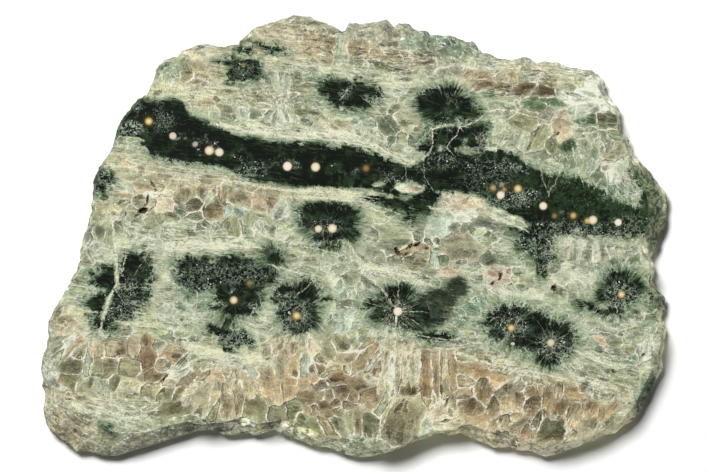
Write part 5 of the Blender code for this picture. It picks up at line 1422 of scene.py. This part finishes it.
def buildSlab():
    points, quads, triangles, sides = slabSurface()
    piece = addMesh("jasperSlab", points, quads, triangles)
    print("slab shaped:", len(points), "points")
    smooth = np.zeros(len(piece.data.polygons), bool)
    smooth[sides[0]:sides[1]] = True
    piece.data.polygons.foreach_set("use_smooth", smooth)
    paintSlab(piece, points)
    print("pattern laid:", len(crystals), "cells set by hand")
    piece.data.materials.append(jasperMaterial())
    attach(piece, "root")
    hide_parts("slab")
    return piece


slab = buildSlab()
print("slab built:", len(slab.data.polygons), "faces")


# A pale floor, soft daylight from the picture's upper left, and a sky that is dim overhead
studio = {
    "floorWidth": 4, "floorTint": (252, 252, 252), "floorRough": 0.9,
    "keyPlace": (-0.9, 1.45, 2.8), "keyWidth": 1, "keyPower": 134,
    "fillPlace": (0.9, -1.6, 2.4), "fillWidth": 2.0, "fillPower": 3,
    "skyFade": (0.7, 0.97), "skySide": 0.14, "skyTop": 0.06,
}


def addLight(name, place, width, power):
    light = bpy.data.lights.new(name, "AREA")
    light.size = width
    light.energy = power
    lamp = bpy.data.objects.new(name, light)
    lamp.location = place
    x, y, z = place
    lamp.rotation_euler = (math.atan2(np.hypot(x, y), z), 0, math.atan2(x, -y))
    bpy.context.scene.collection.objects.link(lamp)


def buildStudio():
    half = studio["floorWidth"] / 2
    points = np.array([(-half, -half, 0), (half, -half, 0), (half, half, 0), (-half, half, 0)], float)
    floor = addMesh("floor", points + (0, 0, boxLow.z), np.array([[0, 1, 2, 3]]), np.zeros((0, 3), int))
    paper = bpy.data.materials.new("palePaper")
    paper.use_nodes = True
    surface = paper.node_tree.nodes["Principled BSDF"]
    surface.inputs["Base Color"].default_value = (*toLinear(studio["floorTint"]), 1)
    surface.inputs["Roughness"].default_value = studio["floorRough"]
    floor.data.materials.append(paper)
    addLight("key", studio["keyPlace"], studio["keyWidth"], studio["keyPower"])
    addLight("fill", studio["fillPlace"], studio["fillWidth"], studio["fillPower"])
    world = bpy.data.worlds.new("daylight")
    bpy.context.scene.world = world
    world.use_nodes = True
    tree = world.node_tree
    up = tree.nodes.new("ShaderNodeSeparateXYZ")
    tree.links.new(tree.nodes.new("ShaderNodeTexCoord").outputs["Generated"], up.inputs[0])
    sky = tree.nodes.new("ShaderNodeMapRange")
    sky.interpolation_type = "SMOOTHSTEP"
    tree.links.new(up.outputs[2], sky.inputs[0])
    for k, value in enumerate((*studio["skyFade"], studio["skySide"], studio["skyTop"]), 1):
        sky.inputs[k].default_value = value
    tree.links.new(sky.outputs[0], tree.nodes["Background"].inputs["Strength"])


# The camera looks straight down. The frame is 708 by 472 pixels, at 4 pixels to the millimetre
view = {"pixels": 708, "pixelsPerMm": 4, "away": 1.6, "sensor": 36, "sharpHeight": 0.6}


def buildCamera():
    data = bpy.data.cameras.new("camera")
    data.sensor_width = view["sensor"]
    data.lens = view["sensor"] * (view["away"] / mm) / (view["pixels"] / view["pixelsPerMm"])
    camera = bpy.data.objects.new("camera", data)
    middle = (boxLow + boxHigh) / 2
    sharp = boxLow.z + view["sharpHeight"] * (boxHigh.z - boxLow.z)
    camera.location = (middle.x, middle.y, sharp + view["away"])
    bpy.context.scene.collection.objects.link(camera)
    bpy.context.scene.camera = camera


buildStudio()
buildCamera()
bpy.context.scene.view_settings.view_transform = "Standard"
print("studio and camera set")
